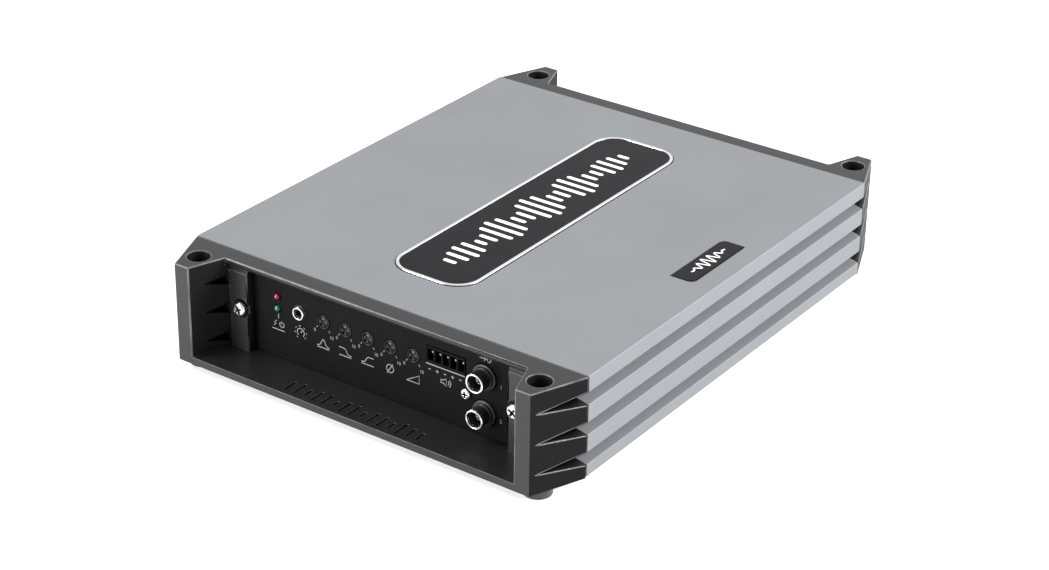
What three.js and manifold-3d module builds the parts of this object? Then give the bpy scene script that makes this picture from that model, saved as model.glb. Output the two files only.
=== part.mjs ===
// Car audio amplifier: an extruded aluminium housing between two moulded end caps, with a
// control panel at the front (-Y), a terminal panel at the back (+Y) and rubber feet below.
// Millimetres, +Z up. The origin is at the middle of the object, on the plane of its feet.

import * as THREE from 'three';
import { mergeVertices } from 'three/addons/utils/BufferGeometryUtils.js';
import { ConvexGeometry } from 'three/addons/geometries/ConvexGeometry.js';
import Module from 'manifold-3d';

const wasm = await Module();
wasm.setup();

// ---------------------------------------------------------------- driving dimensions

const GAP = 0.3; // clearance between separate pieces that touch
const REACH = 1; // how far a cutting solid runs past the face that it opens

const WIDTH = 200; // housing width
const LENGTH = 266; // over both end caps
const SEAM_Y = 108.5; // where an end cap meets the housing
const BODY_BOTTOM = 5; // underside of the housing
const TOP = 50; // top face of the housing
const TOP_WALL = 5; // thickness of the housing's top
const SIDE_WALL_X = 89; // inner face of the housing's side walls

const GROOVE_COUNT = 3; // side grooves, each a lopsided V
const GROOVE_PITCH = 13.4;
const GROOVE_LOW = 10.5; // lower edge of the lowest groove
const GROOVE_HEIGHT = 5.7;
const GROOVE_DEPTH = 6;
const GROOVE_RISE = 1.4; // how far the root of the V is above its lower edge

const CAP_BOTTOM = 4.3; // underside of the end caps
const CAP_TOP = 49.7;
const CAP_FLOOR_TOP = 7.8;
const CAP_BAR_BOTTOM = 46.2; // underside of the top bar
const CAP_BAR_Y = 116.7; // outer edge of the top bar
const CAP_OUTER_Y = LENGTH / 2;
const CAP_LIP = { rise: 3.3, depth: 1.6 }; // slope that undercuts the outer edge of the top bar
const CAP_NOSE_X = 90.2; // outer side of an ear at its nose
const CAP_NOSE_INNER_X = 82.8; // inner side of an ear at its nose
const CAP_ROOT_INNER_X = 77; // inner side of an ear at the top bar
const OUTER_NOTCH_START = 0.12; // where an outer notch starts, as a share of the way from nose to seam
const INNER_NOTCH = { tipX: 80.6, tipY: 126.8, wallX: 76.4, depth: 5, drop: 0.6 };
const CHEEK_Y = 115; // outer face of the two screw cheeks beside the panel
const CHEEK_X = 66.8; // inner edge of the cheeks

const PANEL_FACE_Y = 111;
const PANEL_THICKNESS = 2;
const PANEL_X = 80;

const EAR_HOLE = { x: 86.6, y: 122, wellRadius: 5, neckRadius: 3.25, ledge: 12 };
const FOOT = { radius: 6, spigotRadius: 4.7, spigotTop: 5.8 };

const CAP_SCREW = { x: 70.5, z: 27.4, headRadius: 3.4, headHeight: 2.2, shankRadius: 1.5, reach: 20 };
const SCREW_PORT_DEPTH = 14; // how far a cap screw's port runs into the housing
const BASE_SCREW = { x: 84.5, y: 85, headRadius: 3, headHeight: 1.4, shankRadius: 1.5 };
const BASE_SCREW_SLOT = { half: 1.7, halfWidth: 0.4, depth: 0.8 };
const SCREW_HOLE_RADIUS = 1.9;

const BASE_PLATE = { x: 92.7, thickness: 1.5 };
const STANDOFF = { x: 58, frontY: -84, backY: 92, radius: 3 }; // under the corners of the main board
const FLANGE = { inner: 80, bottom: 6.8, top: 10.8 }; // lip that the base plate is screwed to
const WALL_FILLET = 3; // slope between the side walls and the ceiling
const RAIL = { x: 70.5, halfWidth: 2, bossRadius: 4.2 }; // rail with a screw port at its lower edge

const BADGE = { y: 0.9, width: 41, length: 165.7, radius: 12, rim: 1.5, pocket: 1, proud: 0.5, rimStep: 0.2 };
const MODEL_BADGE = { x: 85, y: 1.2, width: 10.6, length: 40.4, radius: 3, pocket: 0.6, proud: 0.3 };

const LED = { x: -53.5, radius: 1.45, flangeRadius: 1.9, upperZ: 36.8, lowerZ: 31.2, step: 107.6, back: 106 };
const JACK = { x: -41.8, z: 32.7, bore: 1.5, barrel: 2.1, nutInner: 2.4, nutOuter: 3 };
const JACK_PROUD = { barrel: 1.1, nut: 1.5 }; // how far each stands out from the panel
const JACK_BLOCK = { halfX: 4.5, halfZ: 5, front: 108.5, boreBack: 102 };
const TRIMMER = { firstX: -29.2, pitch: 11.65, count: 5, z: 32.4, radius: 3, proud: 0.4, back: 104 };
const TRIMMER_SLOT = { length: 5, depth: 2.4, width: 0.9 };
const TRIMMER_HOUSING = { halfX: 4.8, halfZ: 5.4, front: 107.5 };
const HEADER = { x: 33.75, z: 35.8, cells: 5, pitch: 3.81, height: 7.4, wall: 0.8, back: 102.5 };
const HEADER_PIN = { rise: 0.7, half: 0.5, front: 109.5, spacerHalf: 2 };
const RCA = { x: 52.8, upperZ: 34.8, lowerZ: 18.5, front: 118.4, collar: 5.6, barrel: 4.1 };
const RCA_SHELL = { bore: 3.6, ring: 4.3, ringDepth: 1.2, mouth: 3 };
const RCA_BLOCK = { halfX: 7, back: 97, bottom: 11, top: 43 };
const RCA_LUG = { x: 40, back: 102, bottom: 20.1, top: 28.3 }; // ear of the block that its screw holds
const RCA_SCREW = { x: 43.9, z: 24.2, headRadius: 2.4, headHeight: 1.3, shankRadius: 1.2, reach: 7 };
const CONTROL_BOARD = { faceY: 99.6, thickness: 1.6, left: -60, right: 38, bottom: 16, top: 43 };

const TERMINAL = { pitch: 16, divider: 2.2, back: 104, front: 129, floor: 9, top: 27, wireZ: 18.5 };
const TERMINAL_WALL = { floor: 2.2, backY: 112.5, above: 1.5 }; // thickness and reach of a tray's walls
const TERMINAL_WIRE = { radius: 4.2, back: 115 };
const TERMINAL_SCREW = { y: 121.5, radius: 2.6, bottom: 23.1, top: 27.5, hex: 1.6, hexDepth: 2.6 };
const POWER_TERMINALS = { firstX: 22, count: 3 };
const SPEAKER_TERMINALS = { firstX: -50, count: 2 };
const FUSE = { x: -5, lowerZ: 15.5, upperZ: 26.5, width: 19.2, thickness: 5.2, front: 126.5, seat: 114 };
const FUSE_BLADE = { x: 6.9, halfWidth: 2.6, halfThickness: 0.4, end: 105 };
const FUSE_HOLDER = { wall: 3.4, back: 103, front: 122, bottom: 9.5, top: 32.5 };

const BOARD = { x: 63, front: -92, back: 100, bottom: 12, top: 13.6 };
const TRANSFORMER = { x: -24, y: 18, outer: 23, inner: 8, top: 36 };
const CHOKE = { x: 30, y: 56, outer: 15, inner: 6, top: 28 };
const TOROID_CORNER = 0.25; // slope of a winding's corners, as a share of its height
const CAPACITOR = { x: 30, firstY: -52, pitch: 24, count: 3, radius: 9, top: 37 };
const CLAMP_BAR = { front: -52, back: 72, bottom: 33.5, top: 38, near: 4.4, far: 7 };
const TRANSISTOR = { firstY: -40, pitch: 20, count: 6, half: 5, bottom: 33, top: 43.5, thickness: 4.5 };
const TRANSISTOR_LEG = { near: 2, far: 3, half: 3.5, top: 34 };

// ---------------------------------------------------------------- materials

function finish(colour, roughness, metalness) {
  return () => new THREE.MeshStandardMaterial({ color: colour, roughness, metalness });
}

const silverAluminium = finish(0xa7aab1, 0.45, 0.6);
const graphiteCap = finish(0x4a4a4c, 0.5, 0.1);
const blackPanel = finish(0x1f1f21, 0.6, 0.2);
const blackPlastic = finish(0x161617, 0.45, 0);
const blackRubber = finish(0x2a2a2b, 0.85, 0);
const brightMetal = finish(0xd8d8da, 0.2, 1);
const zincSteel = finish(0x9b9ea3, 0.4, 0.9);
const glossBlack = finish(0x2b2a2d, 0.15, 0);
const greyTrimmer = finish(0x5a5a5c, 0.5, 0);
const redLens = finish(0xc01840, 0.1, 0);
const greenLens = finish(0x1f8a5a, 0.1, 0);
const boardGreen = finish(0x1d5a34, 0.4, 0);
const copperWire = finish(0xb8703a, 0.35, 0.8);
const capacitorSleeve = finish(0x20242c, 0.35, 0);
const fuseYellow = finish(0xd9a520, 0.25, 0);

// ---------------------------------------------------------------- solids

function solid(geometry) {
  geometry.deleteAttribute('normal');
  geometry.deleteAttribute('uv');
  const merged = mergeVertices(geometry, 1e-4);
  const vertProperties = new Float32Array(merged.attributes.position.array);
  const triVerts = new Uint32Array(merged.index.array);
  return new wasm.Manifold(new wasm.Mesh({ numProp: 3, vertProperties, triVerts }));
}

function union(solids) {
  return solids.reduce((whole, piece) => whole.add(piece));
}

function cut(body, cutters) {
  return cutters.reduce((whole, cutter) => whole.subtract(cutter), body);
}

function box(x0, x1, y0, y1, z0, z1) {
  const geometry = new THREE.BoxGeometry(x1 - x0, y1 - y0, z1 - z0);
  geometry.translate((x0 + x1) / 2, (y0 + y1) / 2, (z0 + z1) / 2);
  return solid(geometry);
}

function rodY(x, z, y0, y1, radius, segments = 16) {
  const geometry = new THREE.CylinderGeometry(radius, radius, y1 - y0, segments);
  geometry.translate(x, (y0 + y1) / 2, z);
  return solid(geometry);
}

function rodZ(x, y, z0, z1, radius, segments = 16) {
  const geometry = new THREE.CylinderGeometry(radius, radius, z1 - z0, segments);
  geometry.rotateX(Math.PI / 2);
  geometry.translate(x, y, (z0 + z1) / 2);
  return solid(geometry);
}

function tubeY(x, z, y0, y1, outer, inner, segments = 16) {
  return rodY(x, z, y0, y1, outer, segments).subtract(rodY(x, z, y0 - REACH, y1 + REACH, inner, segments));
}

// An outline in plan, raised from z0 to z1.
function plan(points, z0, z1) {
  const shape = points instanceof THREE.Shape ? points : new THREE.Shape(points);
  const settings = { depth: z1 - z0, bevelEnabled: false, curveSegments: 5 };
  const geometry = new THREE.ExtrudeGeometry(shape, settings);
  geometry.translate(0, 0, z0);
  return solid(geometry);
}

// A cross-section in X and Z, run along Y.
function section(points, y0, y1) {
  const shape = new THREE.Shape(points);
  const geometry = new THREE.ExtrudeGeometry(shape, { depth: y1 - y0, bevelEnabled: false });
  geometry.rotateX(Math.PI / 2);
  geometry.translate(0, y1, 0);
  return solid(geometry);
}

function hull(points) {
  return solid(new ConvexGeometry(points.map(([x, y, z]) => new THREE.Vector3(x, y, z))));
}

function point(x, y) {
  return new THREE.Vector2(x, y);
}

// A rectangle about (x, y) with a radius for each corner: right-front, right-back, left-back, left-front.
function roundedRectangle(x, y, width, length, radii) {
  const [rightFront, rightBack, leftBack, leftFront] = radii;
  const left = x - width / 2;
  const right = x + width / 2;
  const front = y - length / 2;
  const back = y + length / 2;
  const shape = new THREE.Shape();
  shape.moveTo(left + leftFront, front);
  shape.lineTo(right - rightFront, front);
  if (rightFront > 0) shape.absarc(right - rightFront, front + rightFront, rightFront, -Math.PI / 2, 0);
  shape.lineTo(right, back - rightBack);
  if (rightBack > 0) shape.absarc(right - rightBack, back - rightBack, rightBack, 0, Math.PI / 2);
  shape.lineTo(left + leftBack, back);
  if (leftBack > 0) shape.absarc(left + leftBack, back - leftBack, leftBack, Math.PI / 2, Math.PI);
  shape.lineTo(left, front + leftFront);
  if (leftFront > 0) shape.absarc(left + leftFront, front + leftFront, leftFront, Math.PI, Math.PI * 1.5);
  return shape;
}

// ---------------------------------------------------------------- assembly

const group = new THREE.Group();

function addPart(name, body, material) {
  const { numProp, vertProperties, triVerts } = body.getMesh();
  const geometry = new THREE.BufferGeometry();
  geometry.setAttribute('position', new THREE.BufferAttribute(new Float32Array(vertProperties), numProp));
  geometry.setIndex(new THREE.BufferAttribute(new Uint32Array(triVerts), 1));
  geometry.computeVertexNormals();
  const mesh = new THREE.Mesh(geometry, material());
  mesh.name = name;
  group.add(mesh);
  return mesh;
}

// ---------------------------------------------------------------- housing

// Half of the grooved side, from the bottom up, as [x, z] pairs on the +X side.
function groovedSide() {
  const outer = WIDTH / 2;
  const points = [[outer, BODY_BOTTOM]];
  for (let i = 0; i < GROOVE_COUNT; i += 1) {
    const low = GROOVE_LOW + i * GROOVE_PITCH;
    points.push([outer, low], [outer - GROOVE_DEPTH, low + GROOVE_RISE], [outer, low + GROOVE_HEIGHT]);
  }
  points.push([outer, TOP]);
  return points;
}

// Half of the inside, from the middle of the top down to the bottom edge, on the +X side.
function innerSide() {
  const ceiling = TOP - TOP_WALL;
  const bossTop = CAP_SCREW.z + Math.sqrt(RAIL.bossRadius ** 2 - RAIL.halfWidth ** 2);
  const points = [[RAIL.x - RAIL.halfWidth, ceiling], [RAIL.x - RAIL.halfWidth, bossTop]];
  const steps = 8;
  const start = Math.PI / 2 + Math.asin(RAIL.halfWidth / RAIL.bossRadius);
  const sweep = 2 * Math.PI - 2 * Math.asin(RAIL.halfWidth / RAIL.bossRadius);
  for (let i = 1; i < steps; i += 1) {
    const angle = start + (sweep * i) / steps;
    const across = RAIL.bossRadius * Math.cos(angle);
    const up = RAIL.bossRadius * Math.sin(angle);
    points.push([RAIL.x + across, CAP_SCREW.z + up]);
  }
  points.push([RAIL.x + RAIL.halfWidth, bossTop], [RAIL.x + RAIL.halfWidth, ceiling]);
  points.push([SIDE_WALL_X - WALL_FILLET, ceiling], [SIDE_WALL_X, ceiling - WALL_FILLET]);
  points.push([SIDE_WALL_X, FLANGE.top], [FLANGE.inner, FLANGE.top], [FLANGE.inner, FLANGE.bottom]);
  points.push([BASE_PLATE.x + GAP, FLANGE.bottom], [BASE_PLATE.x + GAP, BODY_BOTTOM]);
  return points;
}

function badgeShape(badge, grow) {
  const radius = badge.radius + grow;
  const radii = badge === MODEL_BADGE ? [radius, 0, radius, 0] : [radius, radius, radius, radius];
  return roundedRectangle(badge.x ?? 0, badge.y, badge.width + 2 * grow, badge.length + 2 * grow, radii);
}

function housing() {
  const right = [...innerSide(), ...groovedSide()];
  const left = right.map(([x, z]) => [-x, z]).reverse();
  const outline = [...right, ...left].map(([x, z]) => point(x, z));
  const length = SEAM_Y - GAP;
  const cutters = [
    plan(badgeShape(BADGE, GAP), TOP - BADGE.pocket, TOP + REACH),
    plan(badgeShape(MODEL_BADGE, GAP), TOP - MODEL_BADGE.pocket, TOP + REACH),
  ];
  for (const x of [-CAP_SCREW.x, CAP_SCREW.x]) {
    cutters.push(rodY(x, CAP_SCREW.z, -length - REACH, -length + SCREW_PORT_DEPTH, SCREW_HOLE_RADIUS, 12));
    cutters.push(rodY(x, CAP_SCREW.z, length - SCREW_PORT_DEPTH, length + REACH, SCREW_HOLE_RADIUS, 12));
  }
  for (const [x, y] of baseScrewPlaces()) {
    cutters.push(rodZ(x, y, FLANGE.bottom - REACH, FLANGE.top + REACH, SCREW_HOLE_RADIUS, 12));
  }
  return cut(section(outline, -length, length), cutters);
}

// ---------------------------------------------------------------- end caps

function mirrored(solids) {
  return solids.flatMap((piece) => [piece, piece.mirror([1, 0, 0])]);
}

// The groove of the housing's side, tapering to a point on the slanted side of the ear.
function outerNotch(low) {
  const outer = WIDTH / 2;
  const apexX = CAP_NOSE_X + (outer - CAP_NOSE_X) * OUTER_NOTCH_START;
  const apexY = -CAP_OUTER_Y + (CAP_OUTER_Y - SEAM_Y) * OUTER_NOTCH_START;
  const apexZ = low + GROOVE_HEIGHT / 2;
  const beyond = 4;
  const seam = -SEAM_Y + GAP;
  return hull([
    [apexX, apexY, apexZ],
    [outer - GROOVE_DEPTH, seam, low + GROOVE_RISE],
    [outer, seam, low],
    [outer, seam, low + GROOVE_HEIGHT],
    [outer + beyond, seam, low],
    [outer + beyond, seam, low + GROOVE_HEIGHT],
    [apexX + beyond, apexY, apexZ],
  ]);
}

// A wedge-shaped hollow in the ear's inner face, deepest beside the cheek.
function innerNotch(low) {
  const { tipX, tipY, wallX, depth, drop } = INNER_NOTCH;
  const inside = 3;
  const tipZ = low + GROOVE_HEIGHT / 2;
  return hull([
    [tipX, -tipY, tipZ],
    [wallX + depth, -CHEEK_Y, low],
    [wallX, -CHEEK_Y, low - drop],
    [wallX, -CHEEK_Y, low + GROOVE_HEIGHT - drop],
    [wallX - inside, -CHEEK_Y, low - drop],
    [wallX - inside, -CHEEK_Y, low + GROOVE_HEIGHT - drop],
    [tipX - inside, -tipY, tipZ],
  ]);
}

function capOutline() {
  const right = [
    [CAP_NOSE_INNER_X, -CAP_OUTER_Y],
    [CAP_NOSE_X, -CAP_OUTER_Y],
    [WIDTH / 2, -SEAM_Y],
  ];
  const left = right.map(([x, y]) => [-x, y]).reverse();
  return [...right, ...left].map(([x, y]) => point(x, y));
}

// The front end cap; the back one is this same piece turned half a turn.
function endCap() {
  const noseToRoot = (CAP_NOSE_INNER_X - CAP_ROOT_INNER_X) / (CAP_OUTER_Y - CAP_BAR_Y);
  const mouthX = CAP_NOSE_INNER_X + noseToRoot * REACH;
  const cheekRootX = CAP_ROOT_INNER_X - noseToRoot * (CAP_BAR_Y - CHEEK_Y);
  const bay = [point(-mouthX, -CAP_OUTER_Y - REACH), point(mouthX, -CAP_OUTER_Y - REACH)];
  const aheadOfBar = [...bay, point(CAP_ROOT_INNER_X, -CAP_BAR_Y), point(-CAP_ROOT_INNER_X, -CAP_BAR_Y)];
  const underBar = [...bay, point(cheekRootX, -CHEEK_Y), point(-cheekRootX, -CHEEK_Y)];
  const pocketY = -PANEL_FACE_Y - GAP;
  const lipCut = [-CAP_ROOT_INNER_X, CAP_ROOT_INNER_X].flatMap((x) => [
    [x, -CAP_BAR_Y - REACH, CAP_BAR_BOTTOM - REACH],
    [x, -CAP_BAR_Y - REACH, CAP_BAR_BOTTOM + CAP_LIP.rise],
    [x, -CAP_BAR_Y + CAP_LIP.depth, CAP_BAR_BOTTOM - REACH],
  ]);
  const cutters = [
    plan(aheadOfBar, CAP_FLOOR_TOP, CAP_TOP + REACH),
    plan(underBar, CAP_FLOOR_TOP, CAP_BAR_BOTTOM),
    box(-CHEEK_X, CHEEK_X, -CHEEK_Y - REACH, -SEAM_Y + REACH, CAP_FLOOR_TOP, CAP_BAR_BOTTOM),
    box(-PANEL_X - GAP, PANEL_X + GAP, pocketY, -SEAM_Y + REACH, CAP_FLOOR_TOP, CAP_BAR_BOTTOM),
    hull(lipCut),
  ];
  for (const side of [-1, 1]) {
    const x = side * EAR_HOLE.x;
    cutters.push(rodZ(x, -EAR_HOLE.y, EAR_HOLE.ledge, CAP_TOP + REACH, EAR_HOLE.wellRadius, 24));
    cutters.push(rodZ(x, -EAR_HOLE.y, CAP_BOTTOM - REACH, EAR_HOLE.ledge + REACH, EAR_HOLE.neckRadius));
    cutters.push(rodZ(x, -EAR_HOLE.y, CAP_BOTTOM - REACH, FOOT.spigotTop + GAP, FOOT.spigotRadius + GAP));
    const screwX = side * CAP_SCREW.x;
    cutters.push(rodY(screwX, CAP_SCREW.z, -CHEEK_Y - REACH, pocketY + REACH, SCREW_HOLE_RADIUS, 12));
  }
  for (let i = 0; i < GROOVE_COUNT; i += 1) {
    const low = GROOVE_LOW + i * GROOVE_PITCH;
    cutters.push(...mirrored([outerNotch(low), innerNotch(low)]));
  }
  return cut(plan(capOutline(), CAP_BOTTOM, CAP_TOP), cutters);
}

// ---------------------------------------------------------------- fasteners, feet and base plate

// A pan-head screw driven along +Y: head to the front of faceY, shank behind it.
function panScrew(x, z, faceY, size) {
  const headFront = faceY - GAP - size.headHeight;
  const head = rodY(x, z, headFront, faceY - GAP, size.headRadius);
  const shank = rodY(x, z, faceY - GAP, faceY + size.reach, size.shankRadius, 12);
  const slotHalf = size.headRadius * 0.55;
  const slotWidth = size.headRadius * 0.13;
  const slotDepth = headFront + size.headHeight * 0.55;
  const across = box(x - slotHalf, x + slotHalf, headFront - REACH, slotDepth, z - slotWidth, z + slotWidth);
  const upright = box(x - slotWidth, x + slotWidth, headFront - REACH, slotDepth, z - slotHalf, z + slotHalf);
  return cut(head.add(shank), [across, upright]);
}

function baseScrewPlaces() {
  const places = [];
  for (const y of [-BASE_SCREW.y, BASE_SCREW.y]) {
    for (const x of [-BASE_SCREW.x, BASE_SCREW.x]) {
      places.push([x, y]);
    }
  }
  return places;
}

function baseScrew(x, y) {
  const headTop = BODY_BOTTOM - GAP;
  const headBottom = headTop - BASE_SCREW.headHeight;
  const head = rodZ(x, y, headBottom, headTop, BASE_SCREW.headRadius);
  const shank = rodZ(x, y, headTop, FLANGE.top - GAP, BASE_SCREW.shankRadius, 12);
  const { half, halfWidth, depth } = BASE_SCREW_SLOT;
  const slotTop = headBottom + depth;
  const across = box(x - half, x + half, y - halfWidth, y + halfWidth, headBottom - REACH, slotTop);
  const along = box(x - halfWidth, x + halfWidth, y - half, y + half, headBottom - REACH, slotTop);
  return cut(head.add(shank), [across, along]);
}

function foot(x, y) {
  const top = CAP_BOTTOM - GAP;
  const body = rodZ(x, y, 0, top, FOOT.radius).add(rodZ(x, y, top, FOOT.spigotTop, FOOT.spigotRadius));
  return body.subtract(rodZ(x, y, -REACH, FOOT.spigotTop + REACH, EAR_HOLE.neckRadius));
}

function basePlate() {
  const top = BODY_BOTTOM + BASE_PLATE.thickness;
  const length = SEAM_Y - 2 * GAP;
  const sheet = box(-BASE_PLATE.x, BASE_PLATE.x, -length, length, BODY_BOTTOM, top);
  const standoffs = [];
  for (const x of [-STANDOFF.x, STANDOFF.x]) {
    for (const y of [STANDOFF.frontY, STANDOFF.backY]) {
      standoffs.push(rodZ(x, y, BODY_BOTTOM + REACH, BOARD.bottom - GAP, STANDOFF.radius, 12));
    }
  }
  const holes = baseScrewPlaces().map(([x, y]) => {
    return rodZ(x, y, BODY_BOTTOM - REACH, top + REACH, SCREW_HOLE_RADIUS, 12);
  });
  return cut(union([sheet, ...standoffs]), holes);
}

// ---------------------------------------------------------------- front controls

const rcaPlaces = [['upper', RCA.upperZ], ['lower', RCA.lowerZ]];

function trimmerX(index) {
  return TRIMMER.firstX + index * TRIMMER.pitch;
}

function panelPlate(y0, y1, cutters) {
  const plate = box(-PANEL_X, PANEL_X, y0, y1, CAP_FLOOR_TOP + GAP, CAP_BAR_BOTTOM - GAP);
  const screwHoles = [-CAP_SCREW.x, CAP_SCREW.x].map((x) => {
    return rodY(x, CAP_SCREW.z, y0 - REACH, y1 + REACH, SCREW_HOLE_RADIUS, 12);
  });
  return cut(plate, [...cutters, ...screwHoles]);
}

function frontPanel() {
  const y0 = -PANEL_FACE_Y;
  const y1 = y0 + PANEL_THICKNESS;
  const hole = (x, z, radius, segments) => rodY(x, z, y0 - REACH, y1 + REACH, radius, segments);
  const halfHeader = (HEADER.cells * HEADER.pitch) / 2 + GAP;
  const halfHeight = HEADER.height / 2 + GAP;
  const cutters = [
    hole(LED.x, LED.upperZ, LED.radius + GAP, 12),
    hole(LED.x, LED.lowerZ, LED.radius + GAP, 12),
    hole(JACK.x, JACK.z, JACK.barrel + GAP, 16),
    hole(RCA.x, RCA.upperZ, RCA.collar + GAP, 20),
    hole(RCA.x, RCA.lowerZ, RCA.collar + GAP, 20),
    hole(RCA_SCREW.x, RCA_SCREW.z, RCA_SCREW.shankRadius + GAP, 12),
    box(HEADER.x - halfHeader, HEADER.x + halfHeader, y0 - REACH, y1 + REACH,
      HEADER.z - halfHeight, HEADER.z + halfHeight),
  ];
  for (let i = 0; i < TRIMMER.count; i += 1) {
    cutters.push(hole(trimmerX(i), TRIMMER.z, TRIMMER.radius + GAP, 16));
  }
  return panelPlate(y0, y1, cutters);
}

function led(z) {
  const shoulder = -PANEL_FACE_Y - GAP;
  const dome = new THREE.SphereGeometry(LED.radius, 12, 6);
  dome.translate(LED.x, shoulder, z);
  const lens = rodY(LED.x, z, shoulder, -LED.back, LED.radius, 12);
  const flange = rodY(LED.x, z, -LED.step, -LED.back, LED.flangeRadius, 12);
  return union([solid(dome), lens, flange]);
}

function jackBody() {
  const { halfX, halfZ, front, boreBack } = JACK_BLOCK;
  const { x, z } = JACK;
  const barrelFront = -PANEL_FACE_Y - JACK_PROUD.barrel;
  const barrel = rodY(x, z, barrelFront, -front + REACH, JACK.barrel);
  const block = box(x - halfX, x + halfX, -front, -CONTROL_BOARD.faceY - GAP, z - halfZ, z + halfZ);
  const bore = rodY(x, z, barrelFront - REACH, -boreBack, JACK.bore, 12);
  return union([barrel, block]).subtract(bore);
}

function jackNut() {
  const front = -PANEL_FACE_Y - JACK_PROUD.nut;
  return tubeY(JACK.x, JACK.z, front, -PANEL_FACE_Y - GAP, JACK.nutOuter, JACK.nutInner);
}

// The slotted rotor of a trimmer, turned with a screwdriver.
function trimmerRotor(x) {
  const face = -PANEL_FACE_Y - TRIMMER.proud;
  const body = rodY(x, TRIMMER.z, face, -TRIMMER.back, TRIMMER.radius);
  const slot = (angle) => {
    const geometry = new THREE.BoxGeometry(TRIMMER_SLOT.length, TRIMMER_SLOT.depth, TRIMMER_SLOT.width);
    geometry.rotateY(angle);
    geometry.translate(x, face, TRIMMER.z);
    return solid(geometry);
  };
  return cut(body, [slot(Math.PI / 4), slot(-Math.PI / 4)]);
}

// The upright board behind the panel, with the trimmers' housings soldered to it.
function controlBoard() {
  const { faceY, thickness, left, right, bottom, top } = CONTROL_BOARD;
  const { halfX, halfZ, front } = TRIMMER_HOUSING;
  const board = box(left, right, -faceY, -faceY + thickness, bottom, top);
  const housings = [];
  const bores = [];
  for (let i = 0; i < TRIMMER.count; i += 1) {
    const x = trimmerX(i);
    const z = TRIMMER.z;
    housings.push(box(x - halfX, x + halfX, -front, -faceY + thickness / 2, z - halfZ, z + halfZ));
    bores.push(rodY(x, z, -front - REACH, -TRIMMER.back + GAP, TRIMMER.radius + GAP, 16));
  }
  return cut(union([board, ...housings]), bores);
}

function headerSocket() {
  const half = (HEADER.cells * HEADER.pitch) / 2;
  const front = -PANEL_FACE_Y - GAP;
  const shell = box(HEADER.x - half, HEADER.x + half, front, -HEADER.back,
    HEADER.z - HEADER.height / 2, HEADER.z + HEADER.height / 2);
  const cells = [];
  const cellHalf = HEADER.pitch / 2 - HEADER.wall / 2;
  for (let i = 0; i < HEADER.cells; i += 1) {
    const x = HEADER.x + (i - (HEADER.cells - 1) / 2) * HEADER.pitch;
    cells.push(box(x - cellHalf, x + cellHalf, front - REACH, -HEADER.back + REACH,
      HEADER.z - HEADER.height / 2 + 1, HEADER.z + HEADER.height / 2 - 1));
  }
  return cut(shell, cells);
}

function headerPins() {
  const { rise, half, front, spacerHalf } = HEADER_PIN;
  const spacerX = (HEADER.cells * HEADER.pitch) / 2 - HEADER.wall;
  const z = HEADER.z + rise;
  const spacerFront = -HEADER.back + GAP;
  const pieces = [box(HEADER.x - spacerX, HEADER.x + spacerX, spacerFront, -CONTROL_BOARD.faceY - GAP,
    z - spacerHalf, z + spacerHalf)];
  for (let i = 0; i < HEADER.cells; i += 1) {
    const x = HEADER.x + (i - (HEADER.cells - 1) / 2) * HEADER.pitch;
    pieces.push(box(x - half, x + half, -front, spacerFront + GAP, z - half, z + half));
  }
  return union(pieces);
}

function rcaBlock() {
  const front = -PANEL_FACE_Y + PANEL_THICKNESS + GAP;
  const { halfX, back, bottom, top } = RCA_BLOCK;
  const screwBore = RCA_SCREW.shankRadius + GAP;
  const pieces = [
    box(RCA.x - halfX, RCA.x + halfX, front, -back, bottom, top),
    box(RCA_LUG.x, RCA.x, front, -RCA_LUG.back, RCA_LUG.bottom, RCA_LUG.top),
  ];
  const cutters = [rodY(RCA_SCREW.x, RCA_SCREW.z, front - REACH, -RCA_LUG.back + REACH, screwBore, 12)];
  for (const [, z] of rcaPlaces) {
    pieces.push(rodY(RCA.x, z, -PANEL_FACE_Y - GAP, front + REACH, RCA.collar, 20));
    pieces.push(rodY(RCA.x, z, -RCA.front + RCA_SHELL.ringDepth + GAP, front + REACH, RCA.barrel, 20));
    cutters.push(rodY(RCA.x, z, -RCA.front, front + REACH, RCA_SHELL.bore, 20));
  }
  return cut(union(pieces), cutters);
}

// The plated shell of a phono socket: a sleeve with a wider ring at its mouth.
function rcaShell(z) {
  const { bore, ring, ringDepth, mouth } = RCA_SHELL;
  const back = -PANEL_FACE_Y + PANEL_THICKNESS;
  const sleeve = tubeY(RCA.x, z, -RCA.front + ringDepth / 2, back, bore - GAP, mouth);
  const rim = tubeY(RCA.x, z, -RCA.front, -RCA.front + ringDepth, ring, mouth);
  return sleeve.add(rim);
}

// ---------------------------------------------------------------- rear terminals and fuses

function terminalX(row, index) {
  return row.firstX + index * TERMINAL.pitch;
}

function terminalSpan(row) {
  const x0 = row.firstX - TERMINAL.pitch / 2 - TERMINAL.divider / 2;
  return [x0, x0 + row.count * TERMINAL.pitch + TERMINAL.divider];
}

// A tray with upright dividers that keeps the metal terminals apart.
function terminalTray(row) {
  const [x0, x1] = terminalSpan(row);
  const { back, front, floor, divider, pitch } = TERMINAL;
  const wallTop = TERMINAL.top + TERMINAL_WALL.above;
  const pieces = [
    box(x0, x1, back, front, floor, floor + TERMINAL_WALL.floor),
    box(x0, x1, back, TERMINAL_WALL.backY, floor, wallTop),
  ];
  for (let i = 0; i <= row.count; i += 1) {
    const x = x0 + i * pitch;
    pieces.push(box(x, x + divider, back, front, floor, wallTop));
  }
  return union(pieces);
}

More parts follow.
